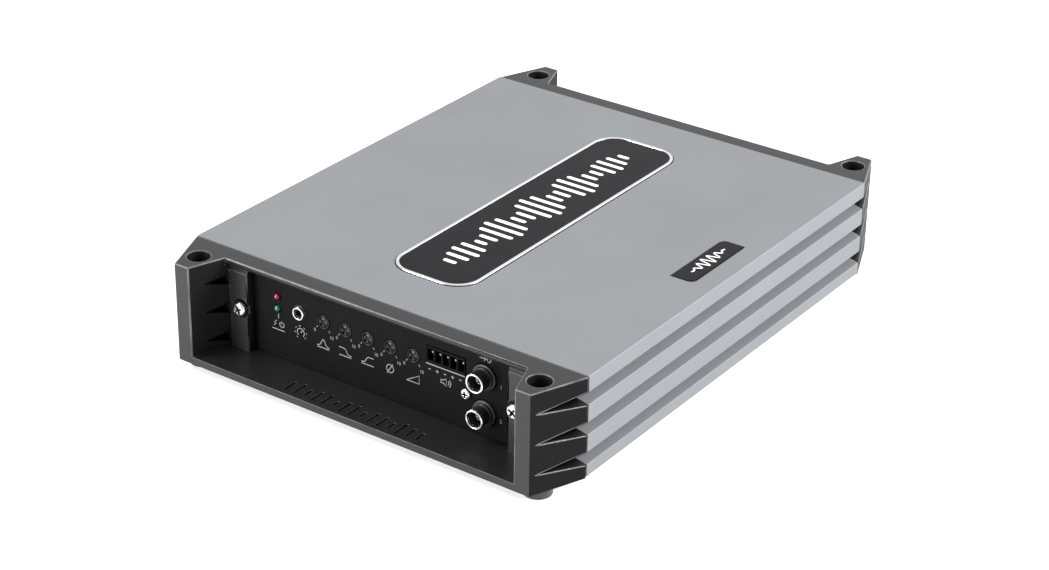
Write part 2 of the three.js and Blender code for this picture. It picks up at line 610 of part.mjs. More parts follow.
function terminal(x) {
  const half = (TERMINAL.pitch - TERMINAL.divider) / 2 - GAP;
  const bottom = TERMINAL.floor + TERMINAL_WALL.floor + GAP;
  const { wireZ, front, top } = TERMINAL;
  const block = box(x - half, x + half, TERMINAL_WALL.backY + GAP, front - 2 * GAP, bottom, top);
  const wireHole = rodY(x, wireZ, TERMINAL_WIRE.back, front + REACH, TERMINAL_WIRE.radius, 20);
  const screwHole = rodZ(x, TERMINAL_SCREW.y, wireZ, top + REACH, TERMINAL_SCREW.radius + GAP, 20);
  return cut(block, [wireHole, screwHole]);
}

function terminalScrew(x) {
  const { y, radius, bottom, top, hex, hexDepth } = TERMINAL_SCREW;
  return rodZ(x, y, bottom, top, radius, 20).subtract(rodZ(x, y, top - hexDepth, top + REACH, hex, 6));
}

function fuseHolder() {
  const { wall, back, front, bottom, top } = FUSE_HOLDER;
  const half = FUSE.width / 2 + wall;
  const cutters = [];
  for (const z of [FUSE.lowerZ, FUSE.upperZ]) {
    const slotX = FUSE.width / 2 + GAP;
    const slotZ = FUSE.thickness / 2 + GAP;
    cutters.push(box(FUSE.x - slotX, FUSE.x + slotX, FUSE.seat, front + REACH, z - slotZ, z + slotZ));
    for (const side of [-1, 1]) {
      const x = FUSE.x + side * FUSE_BLADE.x;
      const bladeX = FUSE_BLADE.halfWidth + GAP;
      const bladeZ = FUSE_BLADE.halfThickness + GAP;
      const end = FUSE_BLADE.end - GAP;
      cutters.push(box(x - bladeX, x + bladeX, end, FUSE.seat + REACH, z - bladeZ, z + bladeZ));
    }
  }
  return cut(box(FUSE.x - half, FUSE.x + half, back, front, bottom, top), cutters);
}

function fuse(z) {
  const half = FUSE.width / 2;
  const gripBack = FUSE.seat + GAP;
  const thick = FUSE.thickness / 2;
  const grip = box(FUSE.x - half, FUSE.x + half, gripBack, FUSE.front, z - thick, z + thick);
  const blades = [-1, 1].map((side) => {
    const x = FUSE.x + side * FUSE_BLADE.x;
    const { halfWidth, halfThickness, end } = FUSE_BLADE;
    return box(x - halfWidth, x + halfWidth, end, gripBack + REACH, z - halfThickness, z + halfThickness);
  });
  return union([grip, ...blades]);
}

function rearPanel() {
  const y0 = PANEL_FACE_Y - PANEL_THICKNESS;
  const y1 = PANEL_FACE_Y;
  const openingTop = TERMINAL.top + TERMINAL_WALL.above + GAP;
  const cutters = [POWER_TERMINALS, SPEAKER_TERMINALS].map((row) => {
    const [x0, x1] = terminalSpan(row);
    return box(x0 - GAP, x1 + GAP, y0 - REACH, y1 + REACH, TERMINAL.floor - GAP, openingTop);
  });
  const half = FUSE.width / 2 + FUSE_HOLDER.wall + GAP;
  const holderBottom = FUSE_HOLDER.bottom - GAP;
  const holderTop = FUSE_HOLDER.top + GAP;
  cutters.push(box(FUSE.x - half, FUSE.x + half, y0 - REACH, y1 + REACH, holderBottom, holderTop));
  return panelPlate(y0, y1, cutters);
}

// ---------------------------------------------------------------- inside the housing

// A wound ring core that stands on the main board.
function toroid({ x, y, outer, inner, top }) {
  const bottom = BOARD.top + GAP;
  const corner = (top - bottom) * TOROID_CORNER;
  const profile = [
    point(inner, bottom + corner), point(inner + corner, bottom),
    point(outer - corner, bottom), point(outer, bottom + corner),
    point(outer, top - corner), point(outer - corner, top),
    point(inner + corner, top), point(inner, top - corner),
    point(inner, bottom + corner),
  ];
  const geometry = new THREE.LatheGeometry(profile, 20);
  geometry.rotateX(Math.PI / 2);
  geometry.translate(x, y, 0);
  return solid(geometry);
}

// A clamp bar pressing a row of power transistors against the housing's rail.
function transistorRow(side) {
  const railFace = RAIL.x - RAIL.halfWidth - GAP;
  const bar = CLAMP_BAR;
  const leg = TRANSISTOR_LEG;
  const { firstY, pitch, count, half, bottom, top, thickness } = TRANSISTOR;
  const pieces = [box(railFace - bar.far, railFace - bar.near, bar.front, bar.back, bar.bottom, bar.top)];
  for (let i = 0; i < count; i += 1) {
    const y = firstY + i * pitch;
    const legBottom = BOARD.top + GAP;
    pieces.push(box(railFace - thickness, railFace, y - half, y + half, bottom, top));
    pieces.push(box(railFace - leg.far, railFace - leg.near, y - leg.half, y + leg.half, legBottom, leg.top));
  }
  const row = union(pieces);
  return side < 0 ? row.mirror([1, 0, 0]) : row;
}

function capacitor(index) {
  const { x, firstY, pitch, radius, top } = CAPACITOR;
  return rodZ(x, firstY + index * pitch, BOARD.top + GAP, top, radius, 20);
}

// ---------------------------------------------------------------- parts in order

addPart('heatsink_housing', housing(), silverAluminium);
addPart('base_plate', basePlate(), zincSteel);
addPart('front_end_cap', endCap(), graphiteCap);
addPart('rear_end_cap', endCap().rotate([0, 0, 180]), graphiteCap);
addPart('control_panel', frontPanel(), blackPanel);
addPart('terminal_panel', rearPanel(), blackPanel);

const badgeBottom = TOP - BADGE.pocket + GAP;
const badgeTop = TOP + BADGE.proud;
const badgeOuter = plan(badgeShape(BADGE, 0), badgeBottom, badgeTop);
const badgeHole = plan(badgeShape(BADGE, -BADGE.rim), badgeBottom - REACH, badgeTop + REACH);
const badgeFace = plan(badgeShape(BADGE, -BADGE.rim - GAP), badgeBottom, badgeTop - BADGE.rimStep);
const modelBadgeBottom = TOP - MODEL_BADGE.pocket + GAP;
const modelBadge = plan(badgeShape(MODEL_BADGE, 0), modelBadgeBottom, TOP + MODEL_BADGE.proud);
addPart('badge_rim', badgeOuter.subtract(badgeHole), brightMetal);
addPart('badge_face', badgeFace, glossBlack);
addPart('model_badge', modelBadge, glossBlack);

for (const [end, sideY] of [['front', -1], ['rear', 1]]) {
  for (const [side, sideX] of [['left', -1], ['right', 1]]) {
    addPart(`foot_${end}_${side}`, foot(sideX * EAR_HOLE.x, sideY * EAR_HOLE.y), blackRubber);
    const frontScrew = panScrew(-sideY * sideX * CAP_SCREW.x, CAP_SCREW.z, -CHEEK_Y, CAP_SCREW);
    const capScrew = sideY < 0 ? frontScrew : frontScrew.rotate([0, 0, 180]);
    addPart(`cap_screw_${end}_${side}`, capScrew, brightMetal);
    const baseScrewSolid = baseScrew(sideX * BASE_SCREW.x, sideY * BASE_SCREW.y);
    addPart(`base_screw_${end}_${side}`, baseScrewSolid, zincSteel);
  }
}

addPart('protect_led', led(LED.upperZ), redLens);
addPart('power_led', led(LED.lowerZ), greenLens);
addPart('remote_jack_body', jackBody(), blackPlastic);
addPart('remote_jack_nut', jackNut(), brightMetal);
const trimmerNames = ['boost', 'low_pass', 'subsonic', 'phase', 'level'];
trimmerNames.forEach((name, i) => addPart(`${name}_trimmer`, trimmerRotor(trimmerX(i)), greyTrimmer));
addPart('speaker_input_socket', headerSocket(), blackPlastic);
addPart('speaker_input_pins', headerPins(), brightMetal);
addPart('rca_block', rcaBlock(), blackPlastic);
for (const [place, z] of rcaPlaces) {
  addPart(`rca_shell_${place}`, rcaShell(z), brightMetal);
}
addPart('rca_block_screw', panScrew(RCA_SCREW.x, RCA_SCREW.z, -PANEL_FACE_Y, RCA_SCREW), brightMetal);
addPart('control_board', controlBoard(), boardGreen);

const terminalRows = [['power', POWER_TERMINALS], ['speaker', SPEAKER_TERMINALS]];
for (const [rowName, row] of terminalRows) {
  addPart(`${rowName}_terminal_tray`, terminalTray(row), blackPlastic);
  for (let i = 0; i < row.count; i += 1) {
    addPart(`${rowName}_terminal_${i + 1}`, terminal(terminalX(row, i)), brightMetal);
    addPart(`${rowName}_terminal_screw_${i + 1}`, terminalScrew(terminalX(row, i)), zincSteel);
  }
}
addPart('fuse_holder', fuseHolder(), blackPlastic);
addPart('fuse_lower', fuse(FUSE.lowerZ), fuseYellow);
addPart('fuse_upper', fuse(FUSE.upperZ), fuseYellow);

const boardSheet = box(-BOARD.x, BOARD.x, BOARD.front, BOARD.back, BOARD.bottom, BOARD.top);
addPart('main_board', boardSheet, boardGreen);
addPart('transformer_core', toroid(TRANSFORMER), copperWire);
addPart('output_choke', toroid(CHOKE), copperWire);
addPart('transistor_row_left', transistorRow(-1), blackPlastic);
addPart('transistor_row_right', transistorRow(1), blackPlastic);
for (let i = 0; i < CAPACITOR.count; i += 1) {
  addPart(`reservoir_capacitor_${i + 1}`, capacitor(i), capacitorSleeve);
}

export default group;
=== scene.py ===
"""The looks of a car audio amplifier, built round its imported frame.

Lengths in this file are millimetres and become metres where a mesh is made. The front, with the
controls, faces -Y; the rear, with the wire terminals, faces +Y.
"""

import math
import random

import bmesh
import bpy
from mathutils import Matrix, Vector


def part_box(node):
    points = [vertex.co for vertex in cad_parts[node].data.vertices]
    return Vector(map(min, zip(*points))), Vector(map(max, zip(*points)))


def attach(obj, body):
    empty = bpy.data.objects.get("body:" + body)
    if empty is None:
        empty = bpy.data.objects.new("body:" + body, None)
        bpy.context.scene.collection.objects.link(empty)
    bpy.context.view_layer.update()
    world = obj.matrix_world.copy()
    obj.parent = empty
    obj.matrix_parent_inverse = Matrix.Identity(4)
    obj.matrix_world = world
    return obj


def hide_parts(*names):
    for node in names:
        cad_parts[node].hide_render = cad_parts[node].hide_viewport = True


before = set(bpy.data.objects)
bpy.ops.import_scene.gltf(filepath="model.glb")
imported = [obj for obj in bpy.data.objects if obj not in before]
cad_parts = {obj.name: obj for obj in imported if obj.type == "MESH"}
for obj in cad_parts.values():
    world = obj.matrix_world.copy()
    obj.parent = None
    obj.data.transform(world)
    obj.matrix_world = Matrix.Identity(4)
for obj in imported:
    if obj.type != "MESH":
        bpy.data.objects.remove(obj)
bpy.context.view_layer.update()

MM = 0.001
MAIN = "amplifier"
FRONT, REAR = Vector((0, -1, 0)), Vector((0, 1, 0))
UP, DOWN = Vector((0, 0, 1)), Vector((0, 0, -1))
BOTH = (-1, 1)  # left and right, or lower and higher
CORNERS = ("front_left", "front_right", "rear_left", "rear_right")


def extent(node):
    """The lowest corner, the highest corner and the middle of a CAD node."""
    low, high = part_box(node)
    low, high = low / MM, high / MM
    return low, high, (low + high) / 2


def centre(node):
    return extent(node)[2]


# ---------------------------------------------------------------- driving dimensions

HOUSING_LOW, HOUSING_HIGH, _ = extent("heatsink_housing")
CAP_LOW, CAP_HIGH, _ = extent("front_end_cap")
PANEL_LOW, PANEL_HIGH, _ = extent("control_panel")
HALF_WIDTH = HOUSING_HIGH.x
TOP = HOUSING_HIGH.z
REACH = 1.0  # how far a cutting shape runs past the face that it opens
CLEARANCE = 0.3  # between pieces that touch
SNUG = 0.27  # how far the control panel's lower edge reaches towards the cap's floor
FINE_EDGE = 0.25  # share of the rounding that inner and engraved edges get
SLIVER = 0.01  # a face this thin beside an edge is left out of the rounding
MERGE = 0.002  # points nearer than this are one point

GROOVES = 3  # lopsided V grooves in each side
GROOVE_PITCH = 13.4
GROOVE_LOW = 10.5
GROOVE_HEIGHT = 5.7
GROOVE_DEPTH = 6.0
GROOVE_RISE = 1.4
GROOVE_LEVELS = [GROOVE_LOW + i * GROOVE_PITCH for i in range(GROOVES)]
CEILING = 45.0  # inner face of the housing's top
WALL_X = 89.0  # inner face of the housing's sides
WALL_SLOPE = 3.0  # between the sides and the ceiling
FLANGE_X = 80.0
FLANGE_BOTTOM = 6.8
FLANGE_TOP = 10.8
RAIL_HALF = 2.0
BOSS_RADIUS = 4.2
PORT_RADIUS = 1.9
PORT_DEPTH = 14.0

CAP_FLOOR = 7.8
BAR_BOTTOM = 46.2
BAR_Y = 116.7
LIP_DEPTH, LIP_HEIGHT = 2.2, 2.9  # the hollow curve along the bar's lower edge
NOSE_X = 90.2
NOSE_INNER_X = 82.8
ROOT_INNER_X = 77.0
CHEEK_Y = 115.0
CHEEK_X = 66.8
SCREW_RECESS = (4.1, 0.9)  # radius and depth of the dish round a cap screw
WELL_RADIUS = 5.0
WELL_LEDGE = 12.0
NECK_RADIUS = 3.25
SPIGOT_RADIUS = 4.7
SPIGOT_TOP = 5.8
OUTER_NOTCH_START = 0.12  # how far back from the nose an outer notch starts, as a share
INNER_NOTCH_WALL, INNER_NOTCH_TIP = 76.4, (80.6, -126.8)
INNER_NOTCH_DROP = 0.6
ENGRAVING_Y = -126.6
ENGRAVED_BARS, ENGRAVED_PITCH, ENGRAVED_DEPTH = 15, 4.8, 0.7

BADGE_RADIUS = 12.0
BADGE_RIM = 1.5
BADGE_POCKET = 1.0
BADGE_BARS, BADGE_PITCH, BADGE_BAR_HALF = 25, 5.4, 1.05
SMALL_BADGE_RADIUS = 3.0
SMALL_BADGE_POCKET = 0.6
WAVE_HALF_LENGTH, WAVE_HEIGHT = 13.0, 3.1

LED_RADIUS = 1.45
TRIMMERS = ["boost_trimmer", "low_pass_trimmer", "subsonic_trimmer", "phase_trimmer", "level_trimmer"]
TRIMMER_RADIUS = 3.0
ROTOR_RADIUS = 2.15
RCA_BARREL_RADIUS = 4.1
RCA_COLLAR_RADIUS = 5.6
RCA_RING_RADIUS = 4.3
RCA_SHELLS = ("rca_shell_upper", "rca_shell_lower")
JACK_BORE = 1.5
JACK_BARREL = 2.1
JACK_FRONT, JACK_BACK = -108.5, -8  # its housing's front face, and how far its sleeve runs in
HEADER_PITCH = 3.81
HEADER_CELLS = 5
PIN_TIP_Y = -109.9

TERMINAL_PITCH = 16.0
DIVIDER = 2.2
TRAY_BACK_Y = 112.5
WIRE_RADIUS, WIRE_Z = 4.2, 18.5
SET_SCREW_RADIUS, SET_SCREW_SOCKET = 2.6, 1.6
TRAYS = {"power_terminal": 3, "speaker_terminal": 2}
FUSES = ("fuse_lower", "fuse_upper")
FUSE_SEAT, FUSE_BACK = 114.0, 114.3  # floor of the holder's slots, and the back of a fuse's grip
BLADE_X, BLADE_HALF = 6.9, 2.6

PLATE_THICKNESS = 1.5
PRESSED_BEADS = (-42, 0, 42)
BEAD_HALF, BEAD_DEPTH, BEAD_END = 2.2, 0.45, 28  # a bead's ends stop short of the plate's
STANDOFFS = [(x, y) for x in (-58, 58) for y in (-84, 92)]
TALL_PARTS = {  # how far from their middles the small board parts keep
    "transformer_core": 26, "output_choke": 18,
    "reservoir_capacitor_1": 13, "reservoir_capacitor_2": 13, "reservoir_capacitor_3": 13,
}
CHIP_SIZES = [(1, 0.6, 0.5), (0.6, 1, 0.5), (2.5, 2, 1.2), (1.6, 0.8, 0.9)]  # two half widths, height
TRANSISTOR_YS = range(-40, 61, 20)
PACKAGE_BOTTOM, PACKAGE_TOP, PACKAGE_HOLE_Z = 33, 43.5, 41
CLAMP_BAR = (-52, 72, 33.5, 38)  # from and to, along the rail and upwards

# ---------------------------------------------------------------- mesh tools

WHERE = {
    "X": lambda u, v, w: (w, u, v),
    "Y": lambda u, v, w: (u, w, v),
    "Z": lambda u, v, w: (u, v, w),
}


def circle(u, v, radius, count=48):
    angles = [2 * math.pi * i / count for i in range(count)]
    return [(u + radius * math.cos(a), v + radius * math.sin(a)) for a in angles]


def rounded(corners, steps=5):
    """A closed outline from (u, v, radius) corners, where each radius becomes an arc."""
    outline = []
    for i, (u, v, radius) in enumerate(corners):
        here = Vector((u, v))
        if radius == 0:
            outline.append((u, v))
            continue
        before = (Vector(corners[i - 1][:2]) - here).normalized()
        after = (Vector(corners[(i + 1) % len(corners)][:2]) - here).normalized()
        half = before.angle(after) / 2
        hub = here + (before + after).normalized() * (radius / math.sin(half))
        setback = radius / math.tan(half)
        start, stop = (here + way * setback - hub for way in (before, after))
        sweep = -start.angle_signed(stop)
        for step in range(steps + 1):
            outline.append(tuple(hub + Matrix.Rotation(sweep * step / steps, 2) @ start))
    return outline


def mirrored(right):
    """The corners of a right half, followed by those of the left half."""
    return right + [(-u, v, radius) for u, v, radius in reversed(right)]


def rectangle(u0, u1, v0, v1, radius=0.0, steps=5):
    """A rectangle with one corner radius, or one each from the low corner round to the left."""
    radii = radius if isinstance(radius, (list, tuple)) else [radius] * 4
    places = [(u0, v0), (u1, v0), (u1, v1), (u0, v1)]
    return rounded([(u, v, r) for (u, v), r in zip(places, radii)], steps)


def bar(u, v, half_u, half_v, radius=0.0, steps=5):
    return rectangle(u - half_u, u + half_u, v - half_v, v + half_v, radius, steps)


def around(node, axes, grow=0.0, radius=0.0, steps=5):
    """The outline of a node's box along two axes, with some room round it."""
    low, high, _ = extent(node)
    across, along = ((getattr(low, axis) - grow, getattr(high, axis) + grow) for axis in axes)
    return rectangle(*across, *along, radius, steps)


def prism(outline, axis, start, end):
    """An outline raised along an axis. Its own two axes are the other two, in order."""
    bm = bmesh.new()
    near, far = ([bm.verts.new(WHERE[axis](u, v, w)) for u, v in outline] for w in (start, end))
    bm.faces.new(near)
    bm.faces.new(far)
    for i in range(len(outline)):
        bm.faces.new((near[i - 1], near[i], far[i], far[i - 1]))
    bmesh.ops.recalc_face_normals(bm, faces=bm.faces)
    return bm


def rod(u, v, radius, axis, start, end, count=32):
    return prism(circle(u, v, radius, count), axis, start, end)


def block(x0, x1, y0, y1, z0, z1, radius=0.0):
    return prism(rectangle(x0, x1, y0, y1, radius), "Z", z0, z1)


def lathe(profile, closed=False, count=64):
    """(radius, height) points turned about Z. A closed profile leaves a hole down the middle."""
    bm = bmesh.new()
    rings = []
    for radius, height in profile:
        if radius == 0:
            rings.append([bm.verts.new((0, 0, height))] * count)
        else:
            rings.append([bm.verts.new((u, v, height)) for u, v in circle(0, 0, radius, count)])
    following = rings[1:] + rings[:1] if closed else rings[1:]
    for near, far in zip(rings, following):
        for i in range(count):
            corners = list(dict.fromkeys((near[i - 1], near[i], far[i], far[i - 1])))
            if len(corners) > 2:
                bm.faces.new(corners)
    bmesh.ops.recalc_face_normals(bm, faces=bm.faces)
    return bm


def hull(points):
    bm = bmesh.new()
    for point in points:
        bm.verts.new(point)
    bmesh.ops.convex_hull(bm, input=bm.verts)
    return bm


def placed(bm, origin, outward, spin=0.0):
    """Stands a mesh made about Z on a face: +Z points outward, and +X to the right seen from there."""
    upright = UP if abs(outward.z) < 0.5 else REAR * outward.z
    turn = Matrix((upright.cross(outward), upright, outward)).transposed().to_4x4()
    bm.transform(Matrix.Translation(origin) @ turn @ Matrix.Rotation(spin, 4, "Z"))
    return bm


def turned(profile, origin, outward, closed=False, count=64):
    return placed(lathe(profile, closed, count), origin, outward)


def spun(bm, angle, axis="Z"):
    bmesh.ops.rotate(bm, matrix=Matrix.Rotation(angle, 3, axis), verts=bm.verts)
    return bm


def moved(bm, x, y, z=0.0):
    bmesh.ops.translate(bm, vec=(x, y, z), verts=bm.verts)
    return bm


def together(parts):
    """Several meshes as one, with nothing cut or joined."""
    whole = bmesh.new()
    for part in parts:
        mesh = bpy.data.meshes.new("part")
        part.to_mesh(mesh)
        part.free()
        whole.from_mesh(mesh)
        bpy.data.meshes.remove(mesh)
    return whole


def linked(name, data):
    thing = bpy.data.objects.new(name, data)
    bpy.context.scene.collection.objects.link(thing)
    return thing


def as_object(name, bm):
    mesh = bpy.data.meshes.new(name)
    bm.to_mesh(mesh)
    bm.free()
    return linked(name, mesh)


def settled(thing):
    """The mesh that an object's modifiers give, as a new mesh; the object is removed."""
    depsgraph = bpy.context.evaluated_depsgraph_get()
    mesh = bpy.data.meshes.new_from_object(thing.evaluated_get(depsgraph))
    bm = bmesh.new()
    bm.from_mesh(mesh)
    bpy.data.meshes.remove(mesh)
    bpy.data.objects.remove(thing)
    return bm


def combined(body, others, operation):
    """Cuts closed meshes from a body, or joins them to it, and tidies the faces."""
    target = as_object("body", body)
    tools = [as_object("tool", other) for other in others]
    for tool in tools:
        step = target.modifiers.new("step", "BOOLEAN")
        step.operation = operation
        step.solver = "EXACT"
        step.object = tool
    result = settled(target)
    for tool in tools:
        bpy.data.objects.remove(tool)
    bmesh.ops.remove_doubles(result, verts=result.verts, dist=MERGE)
    bmesh.ops.dissolve_degenerate(result, edges=result.edges, dist=MERGE)
    many_sided = [face for face in result.faces if len(face.verts) > 4]
    bmesh.ops.triangulate(result, faces=many_sided)
    return result


def cut(body, *others):
    return combined(body, others, "DIFFERENCE")


def fuse(body, *others):
    return combined(body, others, "UNION")


def weigh_edges(bm, angle, fine):
    """Marks the sharp edges for rounding: fully where they stick out, finely elsewhere."""
    layer = bm.edges.layers.float.new("bevel_weight_edge")
    for edge in bm.edges:
        if len(edge.link_faces) != 2 or edge.calc_face_angle() < math.radians(angle):
            continue
        if min(face.calc_area() for face in edge.link_faces) < SLIVER * edge.calc_length():
            continue
        middle = (edge.verts[0].co + edge.verts[1].co) / 2
        edge[layer] = FINE_EDGE if fine and fine(middle) or not edge.is_convex else 1.0


def piece(name, bm, material, body=MAIN, replaces=(), edge=0.0, segments=3, angle=28,
          fine=None, edge_material=None):
    """Turns a mesh in millimetres into a finished piece of the object, with rounded edges."""
    bmesh.ops.recalc_face_normals(bm, faces=bm.faces)
    if edge:
        weigh_edges(bm, angle, fine)
    bmesh.ops.scale(bm, vec=(MM, MM, MM), verts=bm.verts)
    made = as_object(name, bm)
    made.data.materials.append(material)
    made.data.shade_smooth()
    if edge:
        rounding = made.modifiers.new("rounded_edges", "BEVEL")
        rounding.width = edge * MM
        rounding.segments = segments
        rounding.limit_method = "WEIGHT"
        rounding.use_clamp_overlap = False
        rounding.loop_slide = False
        rounding.miter_outer = "MITER_ARC"
        if edge_material:
            made.data.materials.append(edge_material)
            rounding.material = 1
        made.modifiers.new("even_shading", "WEIGHTED_NORMAL")
    else:
        made.data.set_sharp_from_angle(angle=math.radians(angle))
    if replaces:
        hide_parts(*replaces)
    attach(made, body)


def refined(node, material, edge):
    """Keeps a CAD node as it is, with a new material and slightly rounded edges."""
    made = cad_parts[node]
    made.data.materials.clear()
    made.data.materials.append(material)
    made.modifiers.new("merge", "WELD")
    flat = made.modifiers.new("flat_faces", "DECIMATE")
    flat.decimate_type = "DISSOLVE"
    flat.angle_limit = math.radians(0.5)
    rounding = made.modifiers.new("rounded_edges", "BEVEL")
    rounding.width = edge * MM
    rounding.segments = 2
    rounding.angle_limit = math.radians(35)
    made.modifiers.new("even_shading", "WEIGHTED_NORMAL")


def lines(paths, width, height, closed=False):
    """Low rounded ridges along flat paths, standing on the plane Z = 0."""
    curve = bpy.data.curves.new("lines", "CURVE")
    curve.dimensions = "3D"
    curve.bevel_depth = width / 2
    curve.bevel_resolution = 2
    curve.use_fill_caps = True
    for path in paths:
        spline = curve.splines.new("POLY")
        spline.points.add(len(path) - 1)
        for point, (u, v) in zip(spline.points, path):
            point.co = (u, v, 0, 1)
        spline.use_cyclic_u = closed
    bm = settled(linked("lines", curve))
    bpy.data.curves.remove(curve)
    bmesh.ops.scale(bm, vec=(1, 1, height / (width / 2)), verts=bm.verts)
    return bm


def numerals(text, size, height):
    """A number as a thin raised mesh, centred on the origin."""
    font = bpy.data.curves.new("numerals", "FONT")
    font.body = text
    font.size = size
    font.extrude = height
    font.align_x = "CENTER"
    font.align_y = "CENTER"
    bm = settled(linked("numerals", font))
    bpy.data.curves.remove(font)
    return bm


# ---------------------------------------------------------------- materials

NOISE = "ShaderNodeTexNoise"
CELLS = "ShaderNodeTexVoronoi"


def settle(node, **settings):
    """Sets a node's inputs and properties by name; an underscore stands for a space."""
    for name, value in settings.items():
        socket = name.replace("_", " ")
        if socket in node.inputs:
            node.inputs[socket].default_value = value
        else:
            setattr(node, name, value)
    return node


class Surface:
    """A procedural material: one shader, with textures laid out in object coordinates."""

    def __init__(self, name, roughness, metallic=0.0, **sockets):
        self.material = bpy.data.materials.new(name)
        self.material.use_nodes = True
        self.tree = self.material.node_tree
        self.link = self.tree.links.new
        shader = self.tree.nodes["Principled BSDF"]
        self.shader = settle(shader, Roughness=roughness, Metallic=metallic, **sockets)
        self.coordinates = self.node("ShaderNodeTexCoord")
        self.normal = None

    def node(self, kind, **settings):
        return settle(self.tree.nodes.new(kind), **settings)

    def texture(self, kind, per_mm, stretch=(1, 1, 1), **settings):
        """A texture with about per_mm features in a millimetre; stretch lengthens them."""
        mapping = self.node("ShaderNodeMapping", Scale=[per_mm / MM / s for s in stretch])
        pattern = self.node(kind, Scale=1.0, **settings)
        self.link(self.coordinates.outputs["Object"], mapping.inputs["Vector"])
        self.link(mapping.outputs["Vector"], pattern.inputs["Vector"])
        return pattern.outputs["Fac" if "Fac" in pattern.outputs else 0]

    def spread(self, factor, low, high, start=0.3, end=0.7):
        """Maps a texture's middle range to the range from low to high."""
        node = self.node("ShaderNodeMapRange", From_Min=start, From_Max=end, To_Min=low, To_Max=high)
        self.link(factor, node.inputs["Value"])
        return node.outputs["Result"]

    def hollow_shade(self, reach):
        """Ambient occlusion for painted shade: 1 on open surfaces, falling towards 0 in hollows less than
        reach millimetres across.
        """
        return self.node("ShaderNodeAmbientOcclusion", Distance=reach * MM, samples=8).outputs["AO"]

    def sideways(self):
        """0 on faces square to the length or the height, rising to 1 on faces turned to the sides."""
        parts = self.node("ShaderNodeSeparateXYZ")
        size = self.node("ShaderNodeMath", operation="ABSOLUTE")
        self.link(self.coordinates.outputs["Normal"], parts.inputs["Vector"])
        self.link(parts.outputs["X"], size.inputs[0])
        return self.spread(size.outputs["Value"], 0, 1, 0.3, 0.65)

    def times(self, first, second):
        product = self.node("ShaderNodeMath", operation="MULTIPLY")
        self.link(first, product.inputs[0])
        self.link(second, product.inputs[1])
        return product.outputs["Value"]

    def colour(self, factor, dark, light, start=0.3, end=0.7):
        ramp = self.node("ShaderNodeValToRGB")
        for element, shade, position in zip(ramp.color_ramp.elements, (dark, light), (start, end)):
            element.position = position
            element.color = (*shade, 1)
        self.link(factor, ramp.inputs["Fac"])
        self.link(ramp.outputs["Color"], self.shader.inputs["Base Color"])
        return self

    def roughness(self, factor, low, high):
        self.link(self.spread(factor, low, high), self.shader.inputs["Roughness"])
        return self

    def specular(self, factor):
        self.link(factor, self.shader.inputs["Specular IOR Level"])
        return self

    def relief(self, factor, depth):
        """Adds bumps of a depth in millimetres."""
        bump = self.node("ShaderNodeBump", Distance=depth * MM, Strength=1.0)
        self.link(factor, bump.inputs["Height"])
        if self.normal:
            self.link(self.normal, bump.inputs["Normal"])
        self.normal = bump.outputs["Normal"]
        self.link(self.normal, self.shader.inputs["Normal"])
        return self


def grey(level):
    return (level, level, level)


def noise(per_mm, detail=2.0, stretch=(1, 1, 1)):
    return {"kind": NOISE, "per_mm": per_mm, "Detail": detail, "stretch": stretch}


def cells(per_mm, **settings):
    return {"kind": CELLS, "per_mm": per_mm, **settings}


def finish(name, tint, dark, light, span=(0.3, 0.7), grain=None, rough=0.4, depth=0.0, metallic=0.0,
           **sockets):
    """A material in one call. Its tint runs from dark to light: it is a texture, or the reach in
    millimetres of the hollows where painted shade (ambient occlusion) darkens its colour. Its grain,
    or else its tint, sets the roughness where that is a range, and gives the relief."""
    varied = isinstance(rough, tuple)
    made = Surface(name, rough[0] if varied else rough, metallic, **sockets)
    shade = made.texture(**tint) if isinstance(tint, dict) else made.hollow_shade(tint)
    bumps = made.texture(**grain) if grain else shade
    made.colour(shade, dark, light, *span)
    if varied:
        made.roughness(bumps, *rough)
    if depth:
        made.relief(bumps, depth)
    return made.material


def anodised_aluminium():
    made = Surface("anodised_aluminium", 0.52, metallic=0.3, Specular_IOR_Level=0.3)
    cloud = made.texture(NOISE, 0.02, Detail=3.0)
    grain = made.texture(NOISE, 5.0, Detail=2.0)
    drawn = made.texture(NOISE, 1.2, stretch=(1, 60, 1), Detail=3.0)
    made.colour(cloud, (0.198, 0.206, 0.217), (0.214, 0.222, 0.233))
    made.roughness(drawn, 0.5, 0.56)
    return made.relief(grain, 0.004).relief(drawn, 0.0015).material


def moulded_graphite():
    """The caps' plastic, with painted shade: its colour is darker in hollows, and it reflects less where it
    faces the sides and in hollows.
    """
    made = Surface("moulded_graphite", 0.34)
    grain = made.texture(NOISE, 3.2, Detail=3.0)
    painted_ambient_light = made.hollow_shade(6.0)
    # Painted shade: the colour darkens in hollows.
    made.colour(painted_ambient_light, grey(0.0015), grey(0.0125), 0.22, 0.58)
    made.roughness(grain, 0.3, 0.4)
    # Painted shade on the sides: reflection is all but cut where faces turn to the sides, and cut back in
    # hollows.
    side_shaded_gloss = made.spread(made.sideways(), 0.46, 0.01, 0, 1)
    made.specular(made.times(side_shaded_gloss, made.spread(painted_ambient_light, 0.05, 1, 0.22, 0.58)))
    return made.relief(grain, 0.006).material


